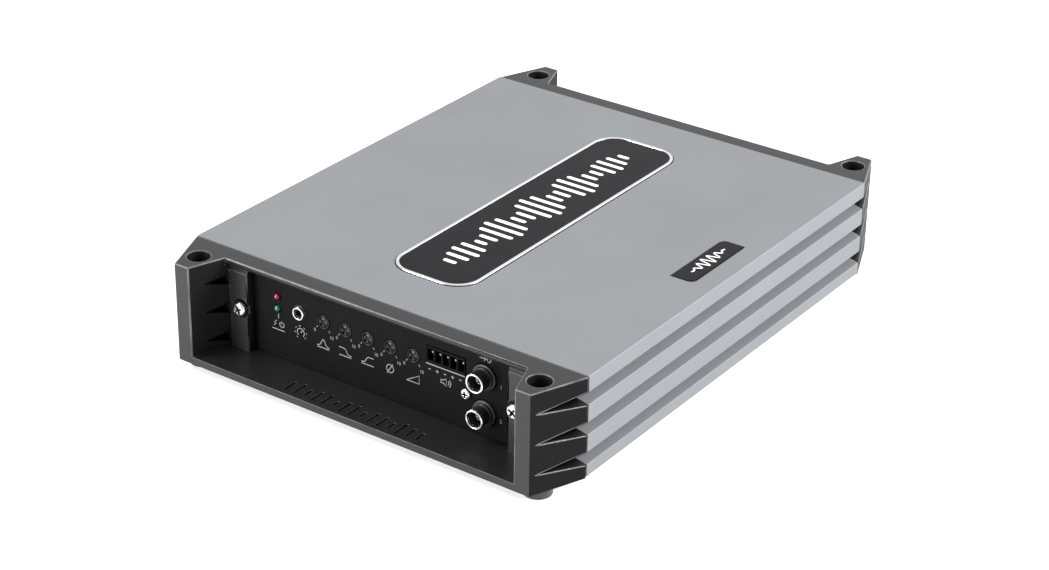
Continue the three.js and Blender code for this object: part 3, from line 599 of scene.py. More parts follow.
def edge_highlight_graphite():
    """The caps' rounded edges: a painted highlight makes them paler than the faces, patchy with noise and
    held back by painted shade in hollows; they are a little smoother too.
    """
    made = Surface("edge_highlight_graphite", 0.3)
    wear_and_highlight_noise = made.texture(NOISE, 0.12, Detail=4.0)
    # Painted shade: full in the open, falling off in hollows.
    painted_ambient_light = made.spread(made.hollow_shade(24.0), 0.02, 1, 0.45, 0.85)
    # Painted highlight: the edges turn paler, patchy with noise, and their reflection follows the same
    # painted shade.
    made.colour(made.times(painted_ambient_light, made.spread(wear_and_highlight_noise, 0.45, 1)), grey(0.008), grey(0.15), 0, 1)
    made.specular(made.times(painted_ambient_light, made.spread(wear_and_highlight_noise, 0.2, 0.35)))
    return made.roughness(wear_and_highlight_noise, 0.32, 0.24).relief(wear_and_highlight_noise, 0.005).material


ALUMINIUM = anodised_aluminium()
GRAPHITE = moulded_graphite()
EDGE_HIGHLIGHT_GRAPHITE = edge_highlight_graphite()
PANEL = finish("powder_coat", noise(0.08), grey(0.003), grey(0.004), grain=noise(2.5), rough=(0.48, 0.62),
               depth=0.01, Specular_IOR_Level=0.08)
INK = finish("light_ink", noise(4.0), grey(0.19), grey(0.25), rough=0.5, depth=0.004)
WHITE = finish("white_inlay", noise(0.3), grey(0.82), grey(0.88), rough=0.3, depth=0.01)
GLOSS = finish("gloss_black", noise(0.05), (0.0085, 0.008, 0.0095), (0.011, 0.0105, 0.012),
               grain=noise(0.4, 4.0, (1, 4, 1)), rough=(0.16, 0.3), depth=0.002, Specular_IOR_Level=0.06)
# Bright nickel, terminal plating and screw steel take painted shade: their colour darkens to near black in
# hollows, such as the screws' cross recesses.
NICKEL = finish("bright_nickel", 1.6, grey(0.03), grey(0.85), (0.45, 0.85), noise(6.0, 3.0, (1, 8, 1)),
                (0.14, 0.26), 0.002, metallic=1.0)
PLATING = finish("terminal_plating", 7.0, grey(0.03), (0.5, 0.49, 0.47), (0.3, 0.8),
                 noise(3.0, 3.0, (8, 1, 1)), (0.24, 0.4), 0.003, metallic=1.0)
SCREW_STEEL = finish("screw_steel", 1.2, grey(0.03), grey(0.5), (0.4, 0.85), noise(4.0, 3.0, (1, 6, 1)),
                     (0.24, 0.4), 0.003, metallic=1.0)
ZINC = finish("zinc_steel", noise(0.12, 4.0), (0.42, 0.43, 0.44), (0.54, 0.55, 0.56), grain=cells(0.25),
              rough=(0.3, 0.45), depth=0.004, metallic=1.0)
RUBBER = finish("rubber", noise(0.15), grey(0.03), grey(0.045), grain=noise(2.0, 4.0), rough=(0.3, 0.42),
                depth=0.006)
PLASTIC = finish("black_plastic", noise(0.1), grey(0.009), grey(0.013), grain=noise(3.0),
                 rough=(0.34, 0.48), depth=0.006)
NYLON = finish("trimmer_nylon", noise(0.5), grey(0.022), grey(0.032), grain=noise(3.0), depth=0.006)
LENS = {"rough": 0.12, "depth": 0.01, "Coat_Weight": 1.0, "Coat_Roughness": 0.04}
RED_LENS = finish("red_lens", noise(0.8), (0.12, 0.002, 0.02), (0.2, 0.004, 0.035), **LENS)
GREEN_LENS = finish("green_lens", noise(0.8), (0.003, 0.075, 0.035), (0.005, 0.12, 0.06), **LENS)
BOARD = finish("solder_resist", cells(0.35, feature="F1", distance="MANHATTAN"), (0.006, 0.05, 0.02),
               (0.02, 0.12, 0.05), (0.2, 0.24), rough=0.3, depth=0.02)
COPPER = finish("copper", noise(0.3), (0.55, 0.2, 0.07), (0.72, 0.32, 0.13), rough=(0.2, 0.34), metallic=1.0)
SLEEVE = finish("shrink_sleeve", noise(0.2, 3.0), (0.01, 0.013, 0.02), (0.016, 0.02, 0.03),
                rough=(0.2, 0.32), depth=0.03)
AMBER = finish("amber_plastic", noise(0.25, 3.0), (0.72, 0.33, 0.015), (0.82, 0.42, 0.03),
               rough=(0.1, 0.22), depth=0.02, Subsurface_Weight=0.25, Subsurface_Scale=0.002)
# The floor is a white light table: it glows a little, so that shadows stay faint.
LIGHT_TABLE = finish("pale_floor", noise(0.004), grey(0.49), grey(0.51), rough=0.9,
                     Specular_IOR_Level=0.1, Emission_Strength=0.7)
LIGHT_TABLE.cycles.emission_sampling = "NONE"

# ---------------------------------------------------------------- camera, light and floor

CAMERA_TARGET = Vector((-6.10, -12.41, 27.33))
CAMERA_AZIMUTH = math.radians(35.518)
CAMERA_ELEVATION = math.radians(26.974)
CAMERA_ROLL = math.radians(0.726)
CAMERA_DISTANCE = 1088.5
FLOOR_HALF = 4.0  # metres


def make_camera():
    a, e = CAMERA_AZIMUTH, CAMERA_ELEVATION
    back = Vector((math.sin(a) * math.cos(e), -math.cos(a) * math.cos(e), math.sin(e)))
    level = Vector((math.cos(a), math.sin(a), 0))
    turn = Matrix.Rotation(CAMERA_ROLL, 3, back)
    side, upright = turn @ level, turn @ back.cross(level)
    data = bpy.data.cameras.new("camera")
    data.lens = 86.12
    data.sensor_width = 36
    data.shift_x = 0.0136
    data.shift_y = -0.0223
    camera = linked("camera", data)
    axes = Matrix((side, upright, back)).transposed().to_4x4()
    camera.matrix_world = Matrix.Translation((CAMERA_TARGET + back * CAMERA_DISTANCE) * MM) @ axes
    bpy.context.scene.camera = camera


def softbox(name, place, size, power, target=(0, 0, 0.03)):
    """A rectangular light that faces a target. Its measures are metres and watts."""
    data = bpy.data.lights.new(name, "AREA")
    data.shape = "RECTANGLE"
    data.size, data.size_y = size
    data.energy = power
    light = linked(name, data)
    light.location = place
    light.visible_camera = False
    light.rotation_euler = (Vector(place) - Vector(target)).to_track_quat("Z", "Y").to_euler()


def surroundings():
    """A plain white world, brightest behind the object and to its right."""
    world = bpy.data.worlds.new("studio")
    world.use_nodes = True
    tree = world.node_tree
    direction = tree.nodes.new("ShaderNodeTexCoord")
    towards = settle(tree.nodes.new("ShaderNodeVectorMath"), operation="DOT_PRODUCT")
    towards.inputs[1].default_value = (0.47, 0.84, 0.26)
    strength = tree.nodes.new("ShaderNodeMapRange")
    settle(strength, From_Min=-0.8, From_Max=0.8, To_Min=0.42, To_Max=1.1)
    background = settle(tree.nodes["Background"], Color=(1, 1, 1, 1))
    tree.links.new(direction.outputs["Generated"], towards.inputs[0])
    tree.links.new(towards.outputs["Value"], strength.inputs["Value"])
    tree.links.new(strength.outputs["Result"], background.inputs["Strength"])
    bpy.context.scene.world = world
    bpy.context.scene.view_settings.view_transform = "Standard"


def make_floor():
    bm = bmesh.new()
    bm.faces.new([bm.verts.new((x, y, 0)) for x, y in bar(0, 0, FLOOR_HALF, FLOOR_HALF)])
    floor = as_object("floor", bm)
    floor.data.materials.append(LIGHT_TABLE)


# ---------------------------------------------------------------- housing


def grooved_side():
    """The grooved outside of the housing's right half, from the bottom up."""
    root, edge = 0.25, 0.35
    corners = [(HALF_WIDTH, HOUSING_LOW.z, edge)]
    for low in GROOVE_LEVELS:
        corners.append((HALF_WIDTH, low, edge))
        corners.append((HALF_WIDTH - GROOVE_DEPTH, low + GROOVE_RISE, root))
        corners.append((HALF_WIDTH, low + GROOVE_HEIGHT, edge))
    return corners + [(HALF_WIDTH, TOP, 0.5)]


def inner_side(port):
    """The inside of the housing's right half, from the ceiling down round the flange."""
    boss_half = math.asin(RAIL_HALF / BOSS_RADIUS)
    boss_top = port.z + BOSS_RADIUS * math.cos(boss_half)
    corners = [(port.x - RAIL_HALF, CEILING, 0.5), (port.x - RAIL_HALF, boss_top, 0)]
    steps = 28
    for i in range(1, steps):
        a = math.pi / 2 + boss_half + 2 * (math.pi - boss_half) * i / steps
        corners.append((port.x + BOSS_RADIUS * math.cos(a), port.z + BOSS_RADIUS * math.sin(a), 0))
    plate_edge = extent("base_plate")[1].x + CLEARANCE
    return corners + [
        (port.x + RAIL_HALF, boss_top, 0), (port.x + RAIL_HALF, CEILING, 0.5),
        (WALL_X - WALL_SLOPE, CEILING, 1), (WALL_X, CEILING - WALL_SLOPE, 1),
        (WALL_X, FLANGE_TOP, 0.3), (FLANGE_X, FLANGE_TOP, 0.3), (FLANGE_X, FLANGE_BOTTOM, 0.3),
        (plate_edge, FLANGE_BOTTOM, 0), (plate_edge, HOUSING_LOW.z, 0),
    ]


def badge_outline(grow=0.0):
    return around("badge_rim", "xy", grow, BADGE_RADIUS + grow, 12)


def small_badge_outline(grow=0.0):
    radius = SMALL_BADGE_RADIUS + grow
    return around("model_badge", "xy", grow, (0, radius, 0, radius), 8)


def at_seam(place):
    return abs(place.y) > HOUSING_HIGH.y - 0.1


def make_housing():
    port = centre("cap_screw_front_right")
    end = HOUSING_HIGH.y
    cutters = [
        prism(badge_outline(CLEARANCE), "Z", TOP - BADGE_POCKET, TOP + REACH),
        prism(small_badge_outline(CLEARANCE), "Z", TOP - SMALL_BADGE_POCKET, TOP + REACH),
    ]
    for x in (-port.x, port.x):
        for y in (-end, end):
            cutters.append(rod(x, port.z, PORT_RADIUS, "Y", y - PORT_DEPTH, y + PORT_DEPTH))
    for corner in CORNERS:
        spot = centre(f"base_screw_{corner}")
        cutters.append(rod(spot.x, spot.y, PORT_RADIUS, "Z", FLANGE_BOTTOM - REACH, FLANGE_TOP + REACH))
    section = rounded(mirrored(inner_side(port) + grooved_side()), 4)
    body = cut(prism(section, "Y", -end, end), *cutters)
    piece("housing_extrusion", body, ALUMINIUM, replaces=["heatsink_housing"], edge=0.15,
          segments=2, fine=at_seam)


# ---------------------------------------------------------------- end caps


def outer_notch(low):
    """The housing's side groove, run on into the ear and tapering to a point."""
    seam = CAP_HIGH.y + CLEARANCE
    tip_x = NOSE_X + (HALF_WIDTH - NOSE_X) * OUTER_NOTCH_START
    tip_y = CAP_LOW.y - (CAP_LOW.y - CAP_HIGH.y) * OUTER_NOTCH_START
    tip_z = low + GROOVE_HEIGHT / 2
    beyond = 4
    points = [(tip_x, tip_y, tip_z), (HALF_WIDTH - GROOVE_DEPTH, seam, low + GROOVE_RISE)]
    for z in (low, low + GROOVE_HEIGHT):
        points += [(HALF_WIDTH, seam, z), (HALF_WIDTH + beyond, seam, z)]
    return hull(points + [(tip_x + beyond, tip_y, tip_z)])


def inner_notch(low):
    """A wedge-shaped hollow in the ear's inner face, deepest beside the cheek."""
    wall, (tip_x, tip_y) = INNER_NOTCH_WALL, INNER_NOTCH_TIP
    tip_z = low + GROOVE_HEIGHT / 2
    inside = 3
    points = [(tip_x, tip_y, tip_z), (tip_x - inside, tip_y, tip_z), (wall + 5, -CHEEK_Y, low)]
    for z in (low - INNER_NOTCH_DROP, low + GROOVE_HEIGHT - INNER_NOTCH_DROP):
        points += [(wall, -CHEEK_Y, z), (wall - inside, -CHEEK_Y, z)]
    return hull(points)


def engraved_bars():
    """A row of level bars sunk into the front floor, in place of lettering."""
    bars = []
    for i in range(ENGRAVED_BARS):
        x = (i - (ENGRAVED_BARS - 1) / 2) * ENGRAVED_PITCH - 1
        half = 1.6 + 3.0 * abs(math.sin(1.1 * i + 0.7))
        outline = bar(x, ENGRAVING_Y, 0.65, half, 0.6, 4)
        bars.append(prism(outline, "Z", CAP_FLOOR - ENGRAVED_DEPTH, CAP_FLOOR + REACH))
    return together(bars)


def lip_section():
    """The section, in Y and Z, of what is cut from the bar's lower edge: a hollow quarter curve."""
    hub_y, hub_z = LIP_DEPTH - BAR_Y, BAR_BOTTOM + LIP_HEIGHT
    past = 2
    section = [(-BAR_Y - past, hub_z)]
    for i in range(9):
        a = math.pi + math.pi / 2 * i / 8
        section.append((hub_y + LIP_DEPTH * math.cos(a), hub_z + LIP_HEIGHT * math.sin(a)))
    return section + [(hub_y, BAR_BOTTOM - past), (-BAR_Y - past, BAR_BOTTOM - past)]


def end_cap(with_bars):
    """The front cap; the rear one is the same moulding turned half a turn."""
    draft = (NOSE_INNER_X - ROOT_INNER_X) / (-CAP_LOW.y - BAR_Y)
    mouth = NOSE_INNER_X + draft * REACH
    cheek_root = ROOT_INNER_X - draft * (BAR_Y - CHEEK_Y)
    front, seam = CAP_LOW.y - REACH, CAP_HIGH.y + REACH
    bottom, top = CAP_LOW.z - REACH, CAP_HIGH.z + REACH
    pocket_x, pocket_y = PANEL_HIGH.x + CLEARANCE, PANEL_LOW.y - CLEARANCE
    inset = 0.2

    def between_ears(root_x, root_y, radius):
        corners = [(-mouth, front, 0), (mouth, front, 0)]
        return rounded(corners + [(root_x, -root_y, radius), (-root_x, -root_y, radius)])

    cutters = [
        prism(between_ears(ROOT_INNER_X, BAR_Y, 0.8), "Z", BAR_BOTTOM, top),
        prism(between_ears(cheek_root, CHEEK_Y, 0.4), "Z", CAP_FLOOR, BAR_BOTTOM),
        block(-CHEEK_X, CHEEK_X, -CHEEK_Y - REACH, seam, CAP_FLOOR, BAR_BOTTOM),
        block(-pocket_x, pocket_x, pocket_y, seam, CAP_FLOOR, BAR_BOTTOM),
        prism(lip_section(), "X", -ROOT_INNER_X + inset, ROOT_INNER_X - inset),
    ]
    well = centre("foot_front_right")
    screw = centre("cap_screw_front_right")
    dish_radius, dish_depth = SCREW_RECESS
    for side in BOTH:
        x, screw_x = side * well.x, side * screw.x
        cutters.append(rod(x, well.y, WELL_RADIUS, "Z", WELL_LEDGE, top, 64))
        cutters.append(rod(x, well.y, NECK_RADIUS, "Z", bottom, WELL_LEDGE + REACH, 48))
        cutters.append(rod(x, well.y, SPIGOT_RADIUS + CLEARANCE, "Z", bottom, SPIGOT_TOP + CLEARANCE, 48))
        cutters.append(rod(screw_x, screw.z, PORT_RADIUS, "Y", -CHEEK_Y - REACH, pocket_y + REACH))
        cutters.append(rod(screw_x, screw.z, dish_radius, "Y", -CHEEK_Y - REACH, -CHEEK_Y + dish_depth, 48))
    for low in GROOVE_LEVELS:
        for notch in (outer_notch, inner_notch):
            for side in (1, -1):
                tool = notch(low)
                bmesh.ops.scale(tool, vec=(side, 1, 1), verts=tool.verts)
                bmesh.ops.recalc_face_normals(tool, faces=tool.faces)
                cutters.append(tool)
    if with_bars:
        cutters.append(engraved_bars())
    outline = rounded(mirrored([(NOSE_X, CAP_LOW.y, 0.5), (HALF_WIDTH, CAP_HIGH.y, 0)]))
    return cut(prism(outline, "Z", CAP_LOW.z, CAP_HIGH.z), *cutters)


def engraved(place):
    """Whether a point of the front cap is on the engraving in its floor."""
    in_depth = CAP_FLOOR - 1 < place.z < CAP_FLOOR + 0.1
    return in_depth and abs(place.x) < 45 and abs(place.y) > 120


def make_caps():
    for end, turn in (("front", 0), ("rear", math.pi)):
        body = spun(end_cap(end == "front"), turn)
        # The rounded edges take the paler edge material, a painted highlight.
        piece(f"{end}_cap_moulding", body, GRAPHITE, replaces=[f"{end}_end_cap"], edge=0.5,
              fine=engraved, edge_material=EDGE_HIGHLIGHT_GRAPHITE)


# ---------------------------------------------------------------- fasteners and feet


def pan_head_screw(node, outward, material, spin, sunk=0.0):
    """A cross-recess screw where a CAD screw is; sunk lengthens its head inwards."""
    low, high, origin = extent(node)
    axis = [abs(part) > 0.5 for part in outward].index(True)
    across = 0 if axis else 1
    radius = (high[across] - low[across]) / 2
    origin[axis] = high[axis] if outward[axis] > 0 else low[axis]
    height = radius * 0.62 + sunk
    profile = [(0, 0), (radius * 0.55, -radius * 0.03)]
    steps = 7
    for i in range(1, steps + 1):
        a = math.pi / 2 * i / steps
        profile.append((radius * (0.55 + 0.45 * math.sin(a)), -radius * (0.03 + 0.4 * (1 - math.cos(a)))))
    shank, tip = radius * 0.44, -height - 4
    profile += [(radius, -height), (shank, -height), (shank, tip), (0, tip)]
    above, deep = 0.2, -radius * 0.66
    recess = [lathe([(0, above), (radius * 0.3, above), (radius * 0.16, deep), (0, deep)], count=24)]
    for turn in (0, math.pi / 2):
        points = []
        for level, half, thin in ((above, 0.66, 0.15), (-radius * 0.6, 0.42, 0.12)):
            points += [(u * half * radius, v * thin * radius, level) for u in BOTH for v in BOTH]
        recess.append(spun(hull(points), turn))
    head = placed(cut(lathe(profile), *recess), origin, outward, spin)
    piece(f"{node}_pan_head", head, material, replaces=[node], edge=0.05, segments=2, angle=35)


def make_foot(corner):
    low, high, middle = extent(f"foot_{corner}")
    outer = (high.x - low.x) / 2
    shoulder = CAP_LOW.z - CLEARANCE
    profile = [
        (NECK_RADIUS, 0.4), (NECK_RADIUS + 0.4, 0), (outer - 0.3, 0), (outer - 0.1, 0.1), (outer, 0.3),
        (outer, shoulder - 0.4), (outer - 0.3, shoulder), (SPIGOT_RADIUS, shoulder),
        (SPIGOT_RADIUS, SPIGOT_TOP), (NECK_RADIUS, SPIGOT_TOP),
    ]
    ring = turned(profile, (middle.x, middle.y, 0), UP, closed=True)
    piece(f"rubber_foot_{corner}", ring, RUBBER, replaces=[f"foot_{corner}"])


def make_fasteners():
    spins = random.Random(7)
    for corner in CORNERS:
        outward = FRONT if corner.startswith("front") else REAR
        pan_head_screw(f"cap_screw_{corner}", outward, NICKEL, spins.uniform(0, 1.5), 1.0)
        pan_head_screw(f"base_screw_{corner}", DOWN, SCREW_STEEL, spins.uniform(0, 1.5))
        make_foot(corner)
    pan_head_screw("rca_block_screw", FRONT, NICKEL, spins.uniform(0, 1.5))


# ---------------------------------------------------------------- badges


def make_badges():
    low, high, middle = extent("badge_rim")
    face_low, face_high, _ = extent("badge_face")
    opening = prism(badge_outline(-BADGE_RIM), "Z", low.z - REACH, high.z + REACH)
    ring = cut(prism(badge_outline(), "Z", low.z, high.z), opening)
    piece("badge_rim_plated", ring, NICKEL, replaces=["badge_rim"], edge=0.3)
    face = prism(badge_outline(-BADGE_RIM - CLEARANCE / 2), "Z", face_low.z, face_high.z)
    piece("badge_face_panel", face, GLOSS, replaces=["badge_face"], edge=0.1)
    bars = []
    for i in range(BADGE_BARS):
        y = middle.y + (i - (BADGE_BARS - 1) / 2) * BADGE_PITCH
        envelope = 0.3 + 0.7 * math.sin(math.pi * (i + 0.5) / BADGE_BARS) ** 0.8
        half = BADGE_BAR_HALF + 0.6 + 9.6 * envelope * abs(math.sin(0.62 * i + 0.45))
        outline = bar(middle.x, y, half, BADGE_BAR_HALF, BADGE_BAR_HALF - 0.01, 6)
        bars.append(prism(outline, "Z", face_high.z - 0.1, face_high.z + 0.15))
    piece("badge_level_bars", together(bars), WHITE, edge=0.08)

    low, high, middle = extent("model_badge")
    plate = prism(small_badge_outline(), "Z", low.z, high.z)
    piece("model_badge_plate", plate, GLOSS, replaces=["model_badge"], edge=0.15)
    wave = []
    steps = 120
    for i in range(steps + 1):
        t = -1 + 2 * i / steps
        x = WAVE_HEIGHT * math.sin(19 * t) * math.cos(math.pi * t / 2) ** 1.3
        wave.append((middle.x + x, middle.y + WAVE_HALF_LENGTH * t))
    piece("model_badge_wave", placed(lines([wave], 0.75, 0.12), (0, 0, high.z), UP), WHITE)


# ---------------------------------------------------------------- panels and front fittings


def hole(radius, count=32):
    """Gives the outline of a round hole at a node's middle."""
    return lambda node: circle(centre(node).x, centre(node).z, radius, count)


def window(radius, steps=5):
    """Gives the outline of a window with some room round a node."""
    return lambda node: around(node, "xz", CLEARANCE, radius, steps)


def make_panel(node, openings, snug=0.0):
    """A recessed panel with openings, each given as some nodes and the outline round one of them."""
    low, high, _ = extent(node)
    tools = []
    for names, outline in openings:
        for name in names:
            tools.append(prism(outline(name), "Y", low.y - REACH, high.y + REACH))
    face = rectangle(low.x, high.x, low.z - snug, high.z, 0.5)
    plate = cut(prism(face, "Y", low.y, high.y), *tools)
    piece(f"{node}_plate", plate, PANEL, replaces=[node], edge=0.2, segments=2)


def make_control_panel():
    make_panel("control_panel", [
        (["protect_led", "power_led"], hole(LED_RADIUS + CLEARANCE)),
        (["remote_jack_body"], hole(JACK_BARREL + CLEARANCE, 48)),
        (TRIMMERS, hole(TRIMMER_RADIUS + CLEARANCE, 48)),
        (RCA_SHELLS, hole(RCA_COLLAR_RADIUS + CLEARANCE, 64)),
        (["rca_block_screw"], hole(1.5)),
        (["speaker_input_socket"], window(0.3, 3)),
        (["cap_screw_front_left", "cap_screw_front_right"], hole(PORT_RADIUS)),
    ], SNUG)


def make_led(node, material):
    low, high, spot = extent(node)
    flange, length = (high.x - low.x) / 2, high.y - low.y
    step = 1.6 - length
    profile = [(0, 0)]
    for i in range(1, 9):
        a = math.pi / 2 * i / 8
        profile.append((LED_RADIUS * math.sin(a), -LED_RADIUS * (1 - math.cos(a))))
    profile += [(LED_RADIUS, step), (flange, step), (flange, -length), (0, -length)]
    dome = turned(profile, (spot.x, low.y, spot.z), FRONT, count=48)
    piece(f"{node}_dome", dome, material, replaces=[node])


def make_jack():
    low, high, _ = extent("remote_jack_body")
    nut_low, nut_high, spot = extent("remote_jack_nut")
    panel, bore, barrel = PANEL_LOW.y, JACK_BORE, JACK_BARREL
    origin = (spot.x, panel, spot.z)
    proud, thick = panel - low.y, panel - nut_low.y
    outer, inner = (nut_high.x - nut_low.x) / 2, barrel + 0.12
    profile = [(bore, proud - 0.2), (bore + 0.2, proud), (barrel - 0.15, proud), (barrel, proud - 0.15)]
    threads = 6
    for i in range(threads):
        profile += [(barrel, -0.2 - i * 0.5), (barrel - 0.15, -0.45 - i * 0.5)]
    profile += [(barrel, -3.4), (barrel, JACK_BACK), (bore, JACK_BACK)]
    sleeve = turned(profile, origin, FRONT, closed=True)
    washer = [(barrel + 0.1, 0.02), (outer + 0.45, 0.02), (outer + 0.4, 0.3), (barrel + 0.1, 0.3)]
    washer = turned(washer, origin, FRONT, closed=True)
    housing = block(low.x, high.x, JACK_FRONT, high.y, low.z, high.z, 0.4)
    mouth = rod(spot.x, spot.z, barrel, "Y", JACK_FRONT - REACH, JACK_FRONT + 4.5)
    body = together([sleeve, washer, cut(housing, mouth)])
    piece("remote_jack_sleeve", body, PLASTIC, replaces=["remote_jack_body"], edge=0.05,
          segments=1)
    profile = [(0.35, -1.2), (0.5, -0.9), (0.75, -0.9), (0.75, -3), (0.35, -3)]
    contact = turned(profile, origin, FRONT, closed=True, count=32)
    piece("remote_jack_contact", contact, NICKEL)
    profile = [
        (inner, 0.3), (outer - 0.05, 0.3), (outer, 0.4), (outer, thick - 0.35), (outer - 0.1, thick - 0.15),
        (outer - 0.3, thick), (inner + 0.12, thick), (inner, thick - 0.12),
    ]
    nut = turned(profile, origin, FRONT, closed=True)
    piece("remote_jack_ring", nut, NICKEL, replaces=["remote_jack_nut"])


def make_trimmer(node, angle):
    """A slotted rotor: four raised quarters between the arms of a cross, in a dark collar."""
    low, high, spot = extent(node)
    origin = (spot.x, low.y, spot.z)
    face, rim, depth = ROTOR_RADIUS, TRIMMER_RADIUS, high.y - low.y
    profile = [(0, 0), (face * 0.6, -0.02), (face - 0.25, -0.12), (face, -0.4), (face, -1.6), (0, -1.6)]
    slots = []
    for turn in (math.pi / 4, -math.pi / 4):
        slots.append(spun(prism(bar(0, 0, 2.6, 0.52), "Z", -1.35, REACH), turn + angle))
    rotor = placed(cut(lathe(profile, count=48), *slots), origin, FRONT)
    piece(f"{node}_rotor", rotor, NYLON, node, replaces=[node], edge=0.08, segments=2)
    profile = [
        (0, -1.3), (rim - 0.5, -1.3), (rim - 0.42, -0.25), (rim - 0.3, -0.12), (rim - 0.12, -0.12),
        (rim, -0.25), (rim, -depth), (0, -depth),
    ]
    piece(f"{node}_skirt", turned(profile, origin, FRONT, count=48), PLASTIC, node)


def make_header():
    low, high, middle = extent("speaker_input_socket")
    pin_z = centre("speaker_input_pins").z
    shell = prism(around("speaker_input_socket", "xz", 0, 0.3, 3), "Y", low.y, high.y)
    hollows, pins = [], []
    for i in range(HEADER_CELLS):
        x = middle.x + (i - (HEADER_CELLS - 1) / 2) * HEADER_PITCH
        outline = rectangle(x - 1.5, x + 1.5, low.z + 1, high.z - 1, 0.2, 2)
        hollows.append(prism(outline, "Y", low.y - REACH, high.y - 1.5))
        pins.append(prism(bar(x, pin_z, 0.45, 0.45, 0.15, 2), "Y", PIN_TIP_Y, high.y))
    piece("header_shell", cut(shell, together(hollows)), PANEL,
          replaces=["speaker_input_socket"], edge=0.12, segments=2)
    piece("header_pins", together(pins), PLATING, replaces=["speaker_input_pins"], edge=0.15)


def make_rca():
    """Two phono sockets: black barrels with plated rings at their mouths."""
    low, high, _ = extent("rca_block")
    collar, barrel, ring = RCA_COLLAR_RADIUS, RCA_BARREL_RADIUS, RCA_RING_RADIUS
    liner = ring - 1.0
    parts = [block(low.x + 6, high.x, PANEL_HIGH.y + CLEARANCE, high.y, low.z, high.z, 0.5)]
    for node in RCA_SHELLS:
        shell_low, _, spot = extent(node)
        proud = PANEL_LOW.y - shell_low.y
        origin = (spot.x, PANEL_LOW.y, spot.z)
        profile = [
            (liner, proud - 1.2), (barrel - 0.1, proud - 1.2), (barrel, proud - 1.35), (barrel, 2.3),
            (barrel + 0.1, 2.15), (barrel + 0.5, 2.1), (barrel + 0.62, 1.95), (barrel + 0.65, 1.1),
            (barrel + 0.75, 1.0), (collar - 0.3, 0.95), (collar - 0.08, 0.85), (collar, 0.6),
            (collar, -2.4), (liner, -2.4),
        ]
        parts.append(turned(profile, origin, FRONT, closed=True, count=96))
        profile = [
            (liner, proud - 1.15), (liner, proud - 0.45), (liner + 0.1, proud - 0.15), (liner + 0.35, proud),
            (ring - 0.35, proud), (ring - 0.1, proud - 0.15), (ring, proud - 0.45), (ring, proud - 1.0),
            (ring - 0.1, proud - 1.15),
        ]
        plated = turned(profile, origin, FRONT, closed=True, count=96)
        piece(f"{node}_ring", plated, NICKEL, replaces=[node])
        profile = [(0, 2.0), (1.2, 2.0), (1.3, 2.4), (2.5, 2.5), (liner, 2.2), (liner, -1), (0, -1)]
        parts.append(turned(profile, origin, FRONT))
        profile = [(1.15, 3.6), (1.3, 3.9), (1.55, 3.9), (1.7, 3.6), (1.7, 2.2), (1.15, 2.2)]
        contact = turned(profile, origin, FRONT, closed=True, count=48)
        piece(f"{node}_contact", contact, NICKEL)
    piece("rca_barrels", together(parts), PLASTIC, replaces=["rca_block"])


# ---------------------------------------------------------------- printed signs

MARK_HEIGHT = 0.05


class Markings:
    """Marks printed on a panel, laid out flat as they are seen from outside."""

    def __init__(self):
        self.marks = []

    def draw(self, paths, u, v, width=0.42):
        self.marks.append(moved(lines(paths, width, MARK_HEIGHT), u, v))

    def number(self, text, u, v, size):
        self.marks.append(moved(numerals(text, size, MARK_HEIGHT), u, v))

    def print_on(self, name, face_y, outward):
        piece(name, placed(together(self.marks), (0, face_y, 0), outward), INK)


def curve_path(function, half, steps=24):
    return [(half * (-1 + 2 * i / steps), function(-1 + 2 * i / steps)) for i in range(steps + 1)]


def arc_path(u, v, radius, start, end, steps=24):
    angles = [math.radians(start + (end - start) * i / steps) for i in range(steps + 1)]
    return [(u + radius * math.cos(a), v + radius * math.sin(a)) for a in angles]


def level_line(half):
    return [(-half, 0), (half, 0)]


def cross(half):
    return [level_line(half), [(0, -half), (0, half)]]


CONE = [(-2.6, -0.7), (-1.4, -0.7), (0, -1.7), (0, 1.7), (-1.4, 0.7), (-2.6, 0.7), (-2.6, -0.7)]
LOUDSPEAKER = [CONE, arc_path(0.3, 0, 1.0, -50, 50, 8), arc_path(0.3, 0, 2.0, -50, 50, 8)]


def trimmer_symbols():
    """One symbol for each trimmer: a boost bell, two filter slopes, a phase sign and a ramp."""
    base = [(-3.2, -2.0), (3.2, -2.0)]
    bell = [curve_path(lambda t: -1.2 + 3.2 * math.exp(-(t * 2.6) ** 2), 3.2), base]
    low_pass = [curve_path(lambda t: -1.2 + 2.8 / (1 + math.exp(9 * (t - 0.25))), 3.2), base]
    high_pass = [curve_path(lambda t: -1.2 + 2.8 / (1 + math.exp(-9 * (t + 0.25))), 3.2), base]
    phase = [arc_path(0, 0.2, 1.8, 0, 360), [(-1.5, -2.1), (1.5, 2.5)]]
    ramp = [[(-3.2, -2.0), (3.2, -2.0), (3.2, 1.8), (-3.2, -2.0)]]
    return [bell, low_pass, high_pass, phase, ramp]


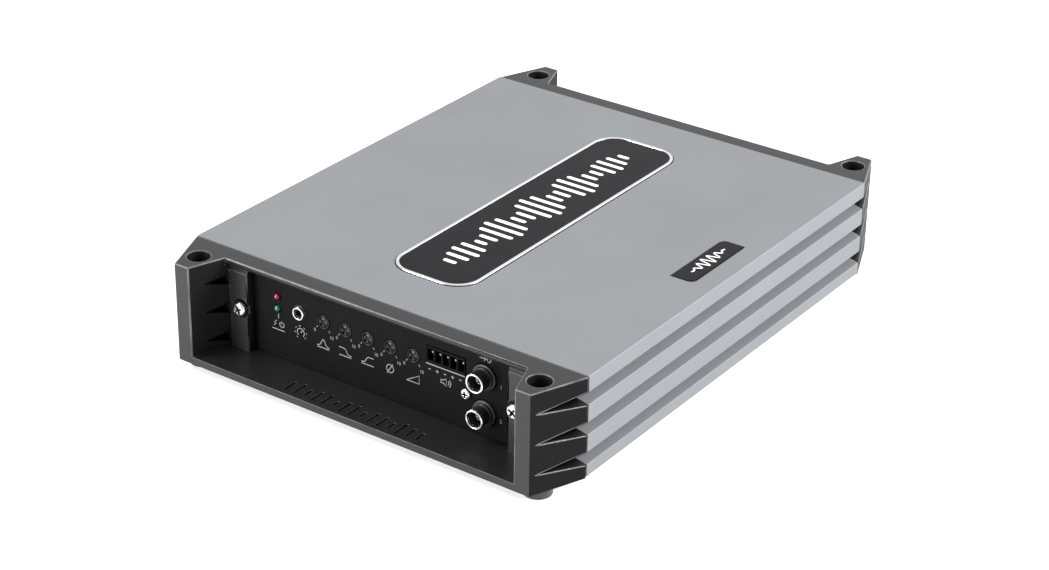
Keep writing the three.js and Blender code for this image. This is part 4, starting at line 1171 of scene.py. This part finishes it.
def front_markings():
    """Symbols and scale numbers printed on the control panel, in place of words."""
    signs = Markings()
    for name, symbol in zip(TRIMMERS, trimmer_symbols()):
        spot = centre(name)
        signs.draw(symbol, spot.x - 0.4, spot.z - 10.2)
        signs.draw([[(-3.1, -2.6), (-3.8, -3.4)], [(2.6, -3.2), (3.2, -4.1)]], spot.x, spot.z, 0.35)
        signs.number("0", spot.x - 4.7, spot.z - 4.9, 2.1)
        signs.number("10", spot.x + 4.1, spot.z - 6.1, 2.1)
    led = centre("power_led")
    lightning = [(0.9, 1.4), (-0.5, 0.1), (0.6, -0.1), (-0.8, -1.4)]
    standby = [arc_path(0, 0, 1.2, 120, 420), [(0, 0.4), (0, 1.7)]]
    signs.draw([[(0, 0), (0, -2.2)]], led.x, led.z - 2.6)
    signs.draw([lightning], led.x - 1.9, led.z - 7.4)
    signs.draw(standby, led.x + 1.7, led.z - 7.4)
    signs.draw([level_line(3.4)], led.x - 0.2, led.z - 10.2)
    jack = centre("remote_jack_nut")
    dial = [arc_path(0, 0, 1.9, -50, 230), [(0, 0), (1.0, 1.2)]]
    ticks = [arc_path(0, 0, 3.1, a, a + 14, 3) for a in range(-45, 230, 45)]
    for paths in (dial, ticks):
        signs.draw(paths, jack.x + 0.2, jack.z - 9.2)
    header = centre("speaker_input_socket")
    signs.draw([level_line(9.6)], header.x - 0.4, header.z - 4.4, 0.5)
    for i in range(HEADER_CELLS):
        x = header.x + (i - (HEADER_CELLS - 1) / 2) * HEADER_PITCH
        signs.draw(cross(0.7) if i % 2 else [level_line(0.6)], x - 0.6, header.z - 6.7)
    signs.draw(LOUDSPEAKER, header.x, header.z - 10.2)
    upper, lower = (centre(node) for node in RCA_SHELLS)
    plug = [[(-2.6, 0), (0.6, 0)], [(-0.5, 0.8), (0.6, 0), (-0.5, -0.8)], arc_path(2.0, 0, 0.9, 0, 360)]
    signs.draw(plug, upper.x, upper.z + 8)
    signs.number("1", upper.x + 7.9, upper.z - 2.2, 2.4)
    signs.number("2", lower.x + 7.9, lower.z - 1.4, 2.4)
    signs.print_on("control_panel_markings", PANEL_LOW.y, FRONT)


def rear_markings():
    """Terminal signs as seen from behind, where the u axis runs towards -X."""
    signs = Markings()
    plus, minus = cross(1.5), [level_line(1.5)]
    ground = [[(0, 2), (0, 0)], level_line(2), [(-1.3, -0.9), (1.3, -0.9)], [(-0.6, -1.8), (0.6, -1.8)]]
    standby = [arc_path(0, 0, 1.7, 120, 420), [(0, 0.6), (0, 2.3)]]
    tray_low, tray_high, _ = extent("power_terminal_tray")
    sign_v, line_v = tray_high.z + 4.2, tray_high.z + 8.2
    for i, sign in enumerate((plus, standby, ground)):
        signs.draw(sign, -centre(f"power_terminal_{i + 1}").x, sign_v, 0.5)
    signs.draw([[(1 - tray_high.x, line_v), (-tray_low.x - 1, line_v)]], 0, 0, 0.5)
    signs.number("12", -centre("power_terminal_2").x, line_v + 2.8, 3.2)
    tray_low, tray_high, tray = extent("speaker_terminal_tray")
    for i, sign in enumerate((plus, minus)):
        signs.draw(sign, -centre(f"speaker_terminal_{i + 1}").x, sign_v, 0.5)
    signs.draw([[(1 - tray_high.x, line_v), (-tray_low.x - 1, line_v)]], 0, 0, 0.5)
    signs.draw(LOUDSPEAKER, -tray.x, line_v + 3)
    _, holder_high, holder = extent("fuse_holder")
    u, rating_v = -holder.x, holder_high.z + 8.6
    fuse_case = bar(0, 0, 3.4, 1.1)
    signs.draw([fuse_case + fuse_case[:1], level_line(5.2)], u, holder_high.z + 4.4)
    signs.number("2", u - 4.4, rating_v, 2.6)
    signs.draw([[(-0.8, -0.8), (0.8, 0.8)], [(-0.8, 0.8), (0.8, -0.8)]], u - 1.4, rating_v, 0.35)
    signs.number("30", u + 2.4, rating_v, 2.6)
    signs.print_on("terminal_panel_markings", extent("terminal_panel")[1].y, REAR)


# ---------------------------------------------------------------- rear terminals and fuses


def make_terminal_panel():
    make_panel("terminal_panel", [
        (["power_terminal_tray", "speaker_terminal_tray", "fuse_holder"], window(0.8)),
        (["cap_screw_rear_left", "cap_screw_rear_right"], hole(PORT_RADIUS)),
    ])


def make_tray(row, count):
    """An open tray; each of its dividers has one round corner."""
    low, high, _ = extent(f"{row}_tray")
    front = low.y + 0.5
    parts = [block(low.x, high.x, low.y, TRAY_BACK_Y, low.z, high.z)]
    profile = rounded([(front, low.z, 0), (high.y, low.z, 1), (high.y, high.z, 5), (front, high.z, 0)])
    for i in range(count + 1):
        x = low.x + i * TERMINAL_PITCH
        parts.append(prism(profile, "X", x, x + DIVIDER))
    body = fuse(block(low.x, high.x, low.y + 0.2, high.y - 0.2, low.z, low.z + DIVIDER), *parts)
    piece(f"{row}_tray_moulding", body, PLASTIC, replaces=[f"{row}_tray"], edge=0.35)


def make_terminal(node):
    """A plated block with a bore for the wire and a hole for its set screw."""
    low, high, _ = extent(node)
    screw = centre(node.replace("terminal_", "terminal_screw_"))
    bore_end, hole_end, hole_radius = -13.4, -8.5, SET_SCREW_RADIUS + 0.3
    profile = [(0, 1), (WIRE_RADIUS + 1.6, 1), (WIRE_RADIUS, -0.9), (WIRE_RADIUS, bore_end), (0, bore_end)]
    bore = turned(profile, (screw.x, high.y, WIRE_Z), REAR)
    profile = [(0, 1), (hole_radius + 0.4, 1), (hole_radius, -0.2), (hole_radius, hole_end), (0, hole_end)]
    well = turned(profile, (screw.x, screw.y, high.z), UP, count=48)
    body = cut(block(low.x, high.x, low.y, high.y, low.z, high.z, 0.8), bore, well)
    piece(f"{node}_block", body, PLATING, replaces=[node], edge=0.3)


def make_set_screw(node):
    low, high, middle = extent(node)
    radius, socket, length = SET_SCREW_RADIUS, SET_SCREW_SOCKET, high.z - low.z
    profile = [(0, 0), (radius - 0.45, 0), (radius - 0.12, -0.3)]
    turns, pitch = 4, 0.9
    for i in range(turns):
        top = -0.45 - i * pitch
        profile += [(radius, top), (radius, top - pitch * 0.3), (radius - 0.3, top - pitch * 0.65)]
    profile += [(radius - 0.5, -length + 0.2), (radius - 0.9, -length), (0, -length)]
    key = rod(0, 0, socket, "Z", -2.6, REACH, 6)
    lead_in = lathe([(0, 0.3), (socket + 0.35, 0.3), (socket - 0.2, -0.35), (0, -0.35)], count=48)
    body = placed(cut(lathe(profile, count=48), key, lead_in), (middle.x, middle.y, high.z), UP)
    piece(f"{node}_hex", body, SCREW_STEEL, node, replaces=[node], edge=0.05, segments=1)


def make_fuse_holder():
    low, high, middle = extent("fuse_holder")
    cutters = []
    for name in FUSES:
        z = centre(name).z
        slot = around(name, "xz", CLEARANCE, 1.0)
        cutters.append(prism(slot, "Y", FUSE_SEAT, high.y + REACH))
        for side in BOTH:
            blade_slot = bar(centre(name).x + side * BLADE_X, z, BLADE_HALF + CLEARANCE, 0.7, 0.3, 2)
            cutters.append(prism(blade_slot, "Y", FUSE_SEAT - 9.3, FUSE_SEAT + REACH))
    groove = rectangle(low.x - REACH, high.x + REACH, middle.z - 0.5, middle.z + 0.5)
    cutters.append(prism(groove, "Y", high.y - 0.8, high.y + REACH))
    body = cut(prism(around("fuse_holder", "xz", 0, 1.2), "Y", low.y, high.y), *cutters)
    piece("fuse_holder_moulding", body, PLASTIC, replaces=["fuse_holder"], edge=0.3)


def make_fuse(name):
    """A blade fuse: an amber grip with a waist and two hollows, two blades and its rating."""
    low, high, middle = extent(name)
    half, thick = (high.x - low.x) / 2, (high.z - low.z) / 2
    waist, head = 3.2, high.y - 6.0
    corners = [
        (half, high.y, 1.2), (half, head, 0.5), (half - 0.8, head - 0.6, 0.3), (half - 0.8, FUSE_BACK, 0.6),
        (waist, FUSE_BACK, 0.4), (waist, FUSE_BACK + 2.6, 0.8),
    ]
    outline = rounded([(middle.x + x, y, r) for x, y, r in mirrored(corners)], 4)
    grip = prism(outline, "Z", middle.z - thick, middle.z + thick)
    inset, sunk = 2.2, 0.6
    hollow = rectangle(low.x + inset, high.x - inset, head + 0.3, high.y - 1.3, 0.8)
    cutters = []
    for z in (middle.z - thick, middle.z + thick):
        cutters.append(prism(hollow, "Z", z - sunk, z + sunk))
    piece(f"{name}_grip", cut(grip, *cutters), AMBER, name, replaces=[name], edge=0.25)
    blades = []
    for side in BOTH:
        x0, x1 = (middle.x + side * BLADE_X + end * BLADE_HALF for end in BOTH)
        blade = rectangle(x0, x1, low.y, FUSE_BACK + 1.7, (1, 1, 0, 0))
        blades.append(prism(blade, "Z", middle.z - 0.4, middle.z + 0.4))
    piece(f"{name}_blades", together(blades), ZINC, name, edge=0.1, segments=2)
    rating = placed(numerals("30", 4.6, 0.06), (middle.x, high.y, middle.z), REAR)
    piece(f"{name}_rating", rating, WHITE, body=name)


# ---------------------------------------------------------------- base plate and inside


def make_base_plate():
    low, high, _ = extent("base_plate")
    top = low.z + PLATE_THICKNESS
    cutters = []
    for corner in CORNERS:
        spot = centre(f"base_screw_{corner}")
        cutters.append(rod(spot.x, spot.y, PORT_RADIUS, "Z", low.z - REACH, top + REACH))
    for x in PRESSED_BEADS:
        y0, y1 = low.y + BEAD_END, high.y - BEAD_END
        bead = rectangle(x - BEAD_HALF, x + BEAD_HALF, y0, y1, BEAD_HALF - 0.01, 10)
        cutters.append(prism(bead, "Z", low.z - REACH, low.z + BEAD_DEPTH))
    plate = cut(prism(around("base_plate", "xy", 0, 1.5), "Z", low.z, top), *cutters)
    posts = [rod(x, y, 3, "Z", top, high.z, 6) for x, y in STANDOFFS]
    piece("base_plate_pressing", together([plate, *posts]), ZINC, replaces=["base_plate"],
          edge=0.2, segments=2)


def make_winding(node, turns):
    """A ring core wound with enamelled wire, one rounded loop after another."""
    low, high, middle = extent(node)
    outer, height = (high.x - low.x) / 2, high.z - low.z
    inner = outer * 0.36
    wire = 0.85 * math.pi * (inner + 1.2) / turns
    half_u, half_v = (outer - inner) / 2 - wire, height / 2 - wire
    ring_radius = inner + wire + half_u
    section = bar(0, 0, half_u, half_v, half_u * 0.45, 3)
    core = lathe([(ring_radius + u * 0.96, v * 0.96) for u, v in section], closed=True, count=48)
    loops = []
    for i in range(turns):
        loop = spun(lines([section], 2 * wire, wire, closed=True), math.pi / 2, "X")
        loops.append(spun(moved(loop, ring_radius, 0), 2 * math.pi * i / turns))
    whole = moved(together([core, *loops]), *middle)
    piece(f"{node}_winding", whole, COPPER, replaces=[node])


def make_capacitor(node):
    low, high, middle = extent(node)
    radius, height = (high.x - low.x) / 2, high.z - low.z
    profile = [
        (0, 0.3), (radius - 0.6, 0.3), (radius - 0.2, 0.7), (radius, 1.2), (radius, 2.6),
        (radius - 0.7, 3.2), (radius - 0.7, 3.8), (radius, 4.4), (radius, height - 1),
        (radius - 0.3, height - 0.3), (radius - 0.9, height), (radius - 1.5, height - 0.1),
        (radius - 1.7, height - 0.5), (0, height - 0.5),
    ]
    can = turned(profile, (middle.x, middle.y, low.z), UP)
    piece(f"{node}_can", can, SLEEVE, replaces=[node])
    grooves = []
    for turn in (0, math.pi / 3, -math.pi / 3):
        grooves.append(spun(prism(bar(0, 0, radius * 0.6, 0.3), "Z", 0, 0.25), turn))
    vent = placed(together(grooves), (middle.x, middle.y, high.z - 0.5), UP)
    piece(f"{node}_vent", vent, ZINC)


def make_transistor_row(node, side):
    """Six flat packages, each with a hole and three legs, pressed to the rail by a steel bar."""
    low, high, _ = extent(node)
    rail = high.x if side > 0 else low.x
    packages, metal = [], []
    for y in TRANSISTOR_YS:
        x0, x1 = sorted((rail, rail - side * 4.5))
        fixing = rod(y, PACKAGE_HOLE_Z, 1.6, "X", x0 - REACH, x1 + REACH, 24)
        package = block(x0, x1, y - 5, y + 5, PACKAGE_BOTTOM, PACKAGE_TOP, 0.4)
        packages.append(cut(package, fixing))
        x0, x1 = sorted((rail - side * 2, rail - side * 2.6))
        for leg in (y - 2.5, y, y + 2.5):
            metal.append(block(x0, x1, leg - 0.5, leg + 0.5, low.z, PACKAGE_BOTTOM + 1, 0.2))
    piece(f"{node}_packages", together(packages), PLASTIC, replaces=[node], edge=0.3)
    x0, x1 = sorted((rail - side * 4.6, rail - side * 7))
    metal.append(block(x0, x1, *CLAMP_BAR, 0.5))
    piece(f"{node}_clamp_bar", together(metal), ZINC, edge=0.15, segments=2)


def board_parts(x0, x1, y0, y1, blocked, count, seed):
    """Small chips and resistors scattered over a board, clear of the blocked (x, y, radius) places."""
    places = random.Random(seed)
    parts = []
    while len(parts) < count:
        x, y = places.uniform(x0, x1), places.uniform(y0, y1)
        half_x, half_y, height = places.choice(CHIP_SIZES)
        if all(math.hypot(x - u, y - v) > r for u, v, r in blocked):
            parts.append(block(x - half_x, x + half_x, y - half_y, y + half_y, 0, height, 0.15))
            blocked = blocked + [(x, y, 4.5)]
    return together(parts)


def make_boards():
    low, high, _ = extent("main_board")
    holes = [rod(x, y, 1.7, "Z", low.z - REACH, high.z + REACH, 24) for x, y in STANDOFFS]
    body = cut(prism(around("main_board", "xy", 0, 2), "Z", low.z, high.z), *holes)
    piece("main_board_laminate", body, BOARD, replaces=["main_board"], edge=0.1, segments=1)
    blocked = [(centre(node).x, centre(node).y, room) for node, room in TALL_PARTS.items()]
    chips = board_parts(low.x + 5, high.x - 5, low.y + 6, high.y - 6, blocked, 70, 3)
    chips = placed(chips, (0, 0, high.z), UP)
    piece("main_board_parts", chips, PLASTIC, edge=0.1, segments=1)
    refined("control_board", BOARD, 0.15)


# ---------------------------------------------------------------- the whole object

make_camera()
surroundings()
softbox("key_top_left", (-0.85, -0.75, 1.2), (0.5, 0.5), 17)
softbox("front_fill", (-0.9, -1.5, 0.35), (1.0, 0.5), 28)
softbox("back_right", (1.1, 1.3, 0.7), (0.9, 0.9), 5, target=(0.25, 0.3, 0))
softbox("side_right", (1.5, 0.6, 0.85), (0.9, 0.5), 42)
make_floor()
make_housing()
make_caps()
make_fasteners()
make_badges()
make_control_panel()
make_led("protect_led", RED_LENS)
make_led("power_led", GREEN_LENS)
make_jack()
for turn, trimmer in enumerate(TRIMMERS):
    make_trimmer(trimmer, 0.12 * math.sin(2.3 * turn))
make_header()
make_rca()
front_markings()
make_terminal_panel()
for tray, terminals in TRAYS.items():
    make_tray(tray, terminals)
    for number in range(1, terminals + 1):
        make_terminal(f"{tray}_{number}")
        make_set_screw(f"{tray}_screw_{number}")
make_fuse_holder()
for blade_fuse in FUSES:
    make_fuse(blade_fuse)
rear_markings()
make_base_plate()
make_winding("transformer_core", 60)
make_winding("output_choke", 36)
for number in (1, 2, 3):
    make_capacitor(f"reservoir_capacitor_{number}")
make_transistor_row("transistor_row_left", -1)
make_transistor_row("transistor_row_right", 1)
make_boards()
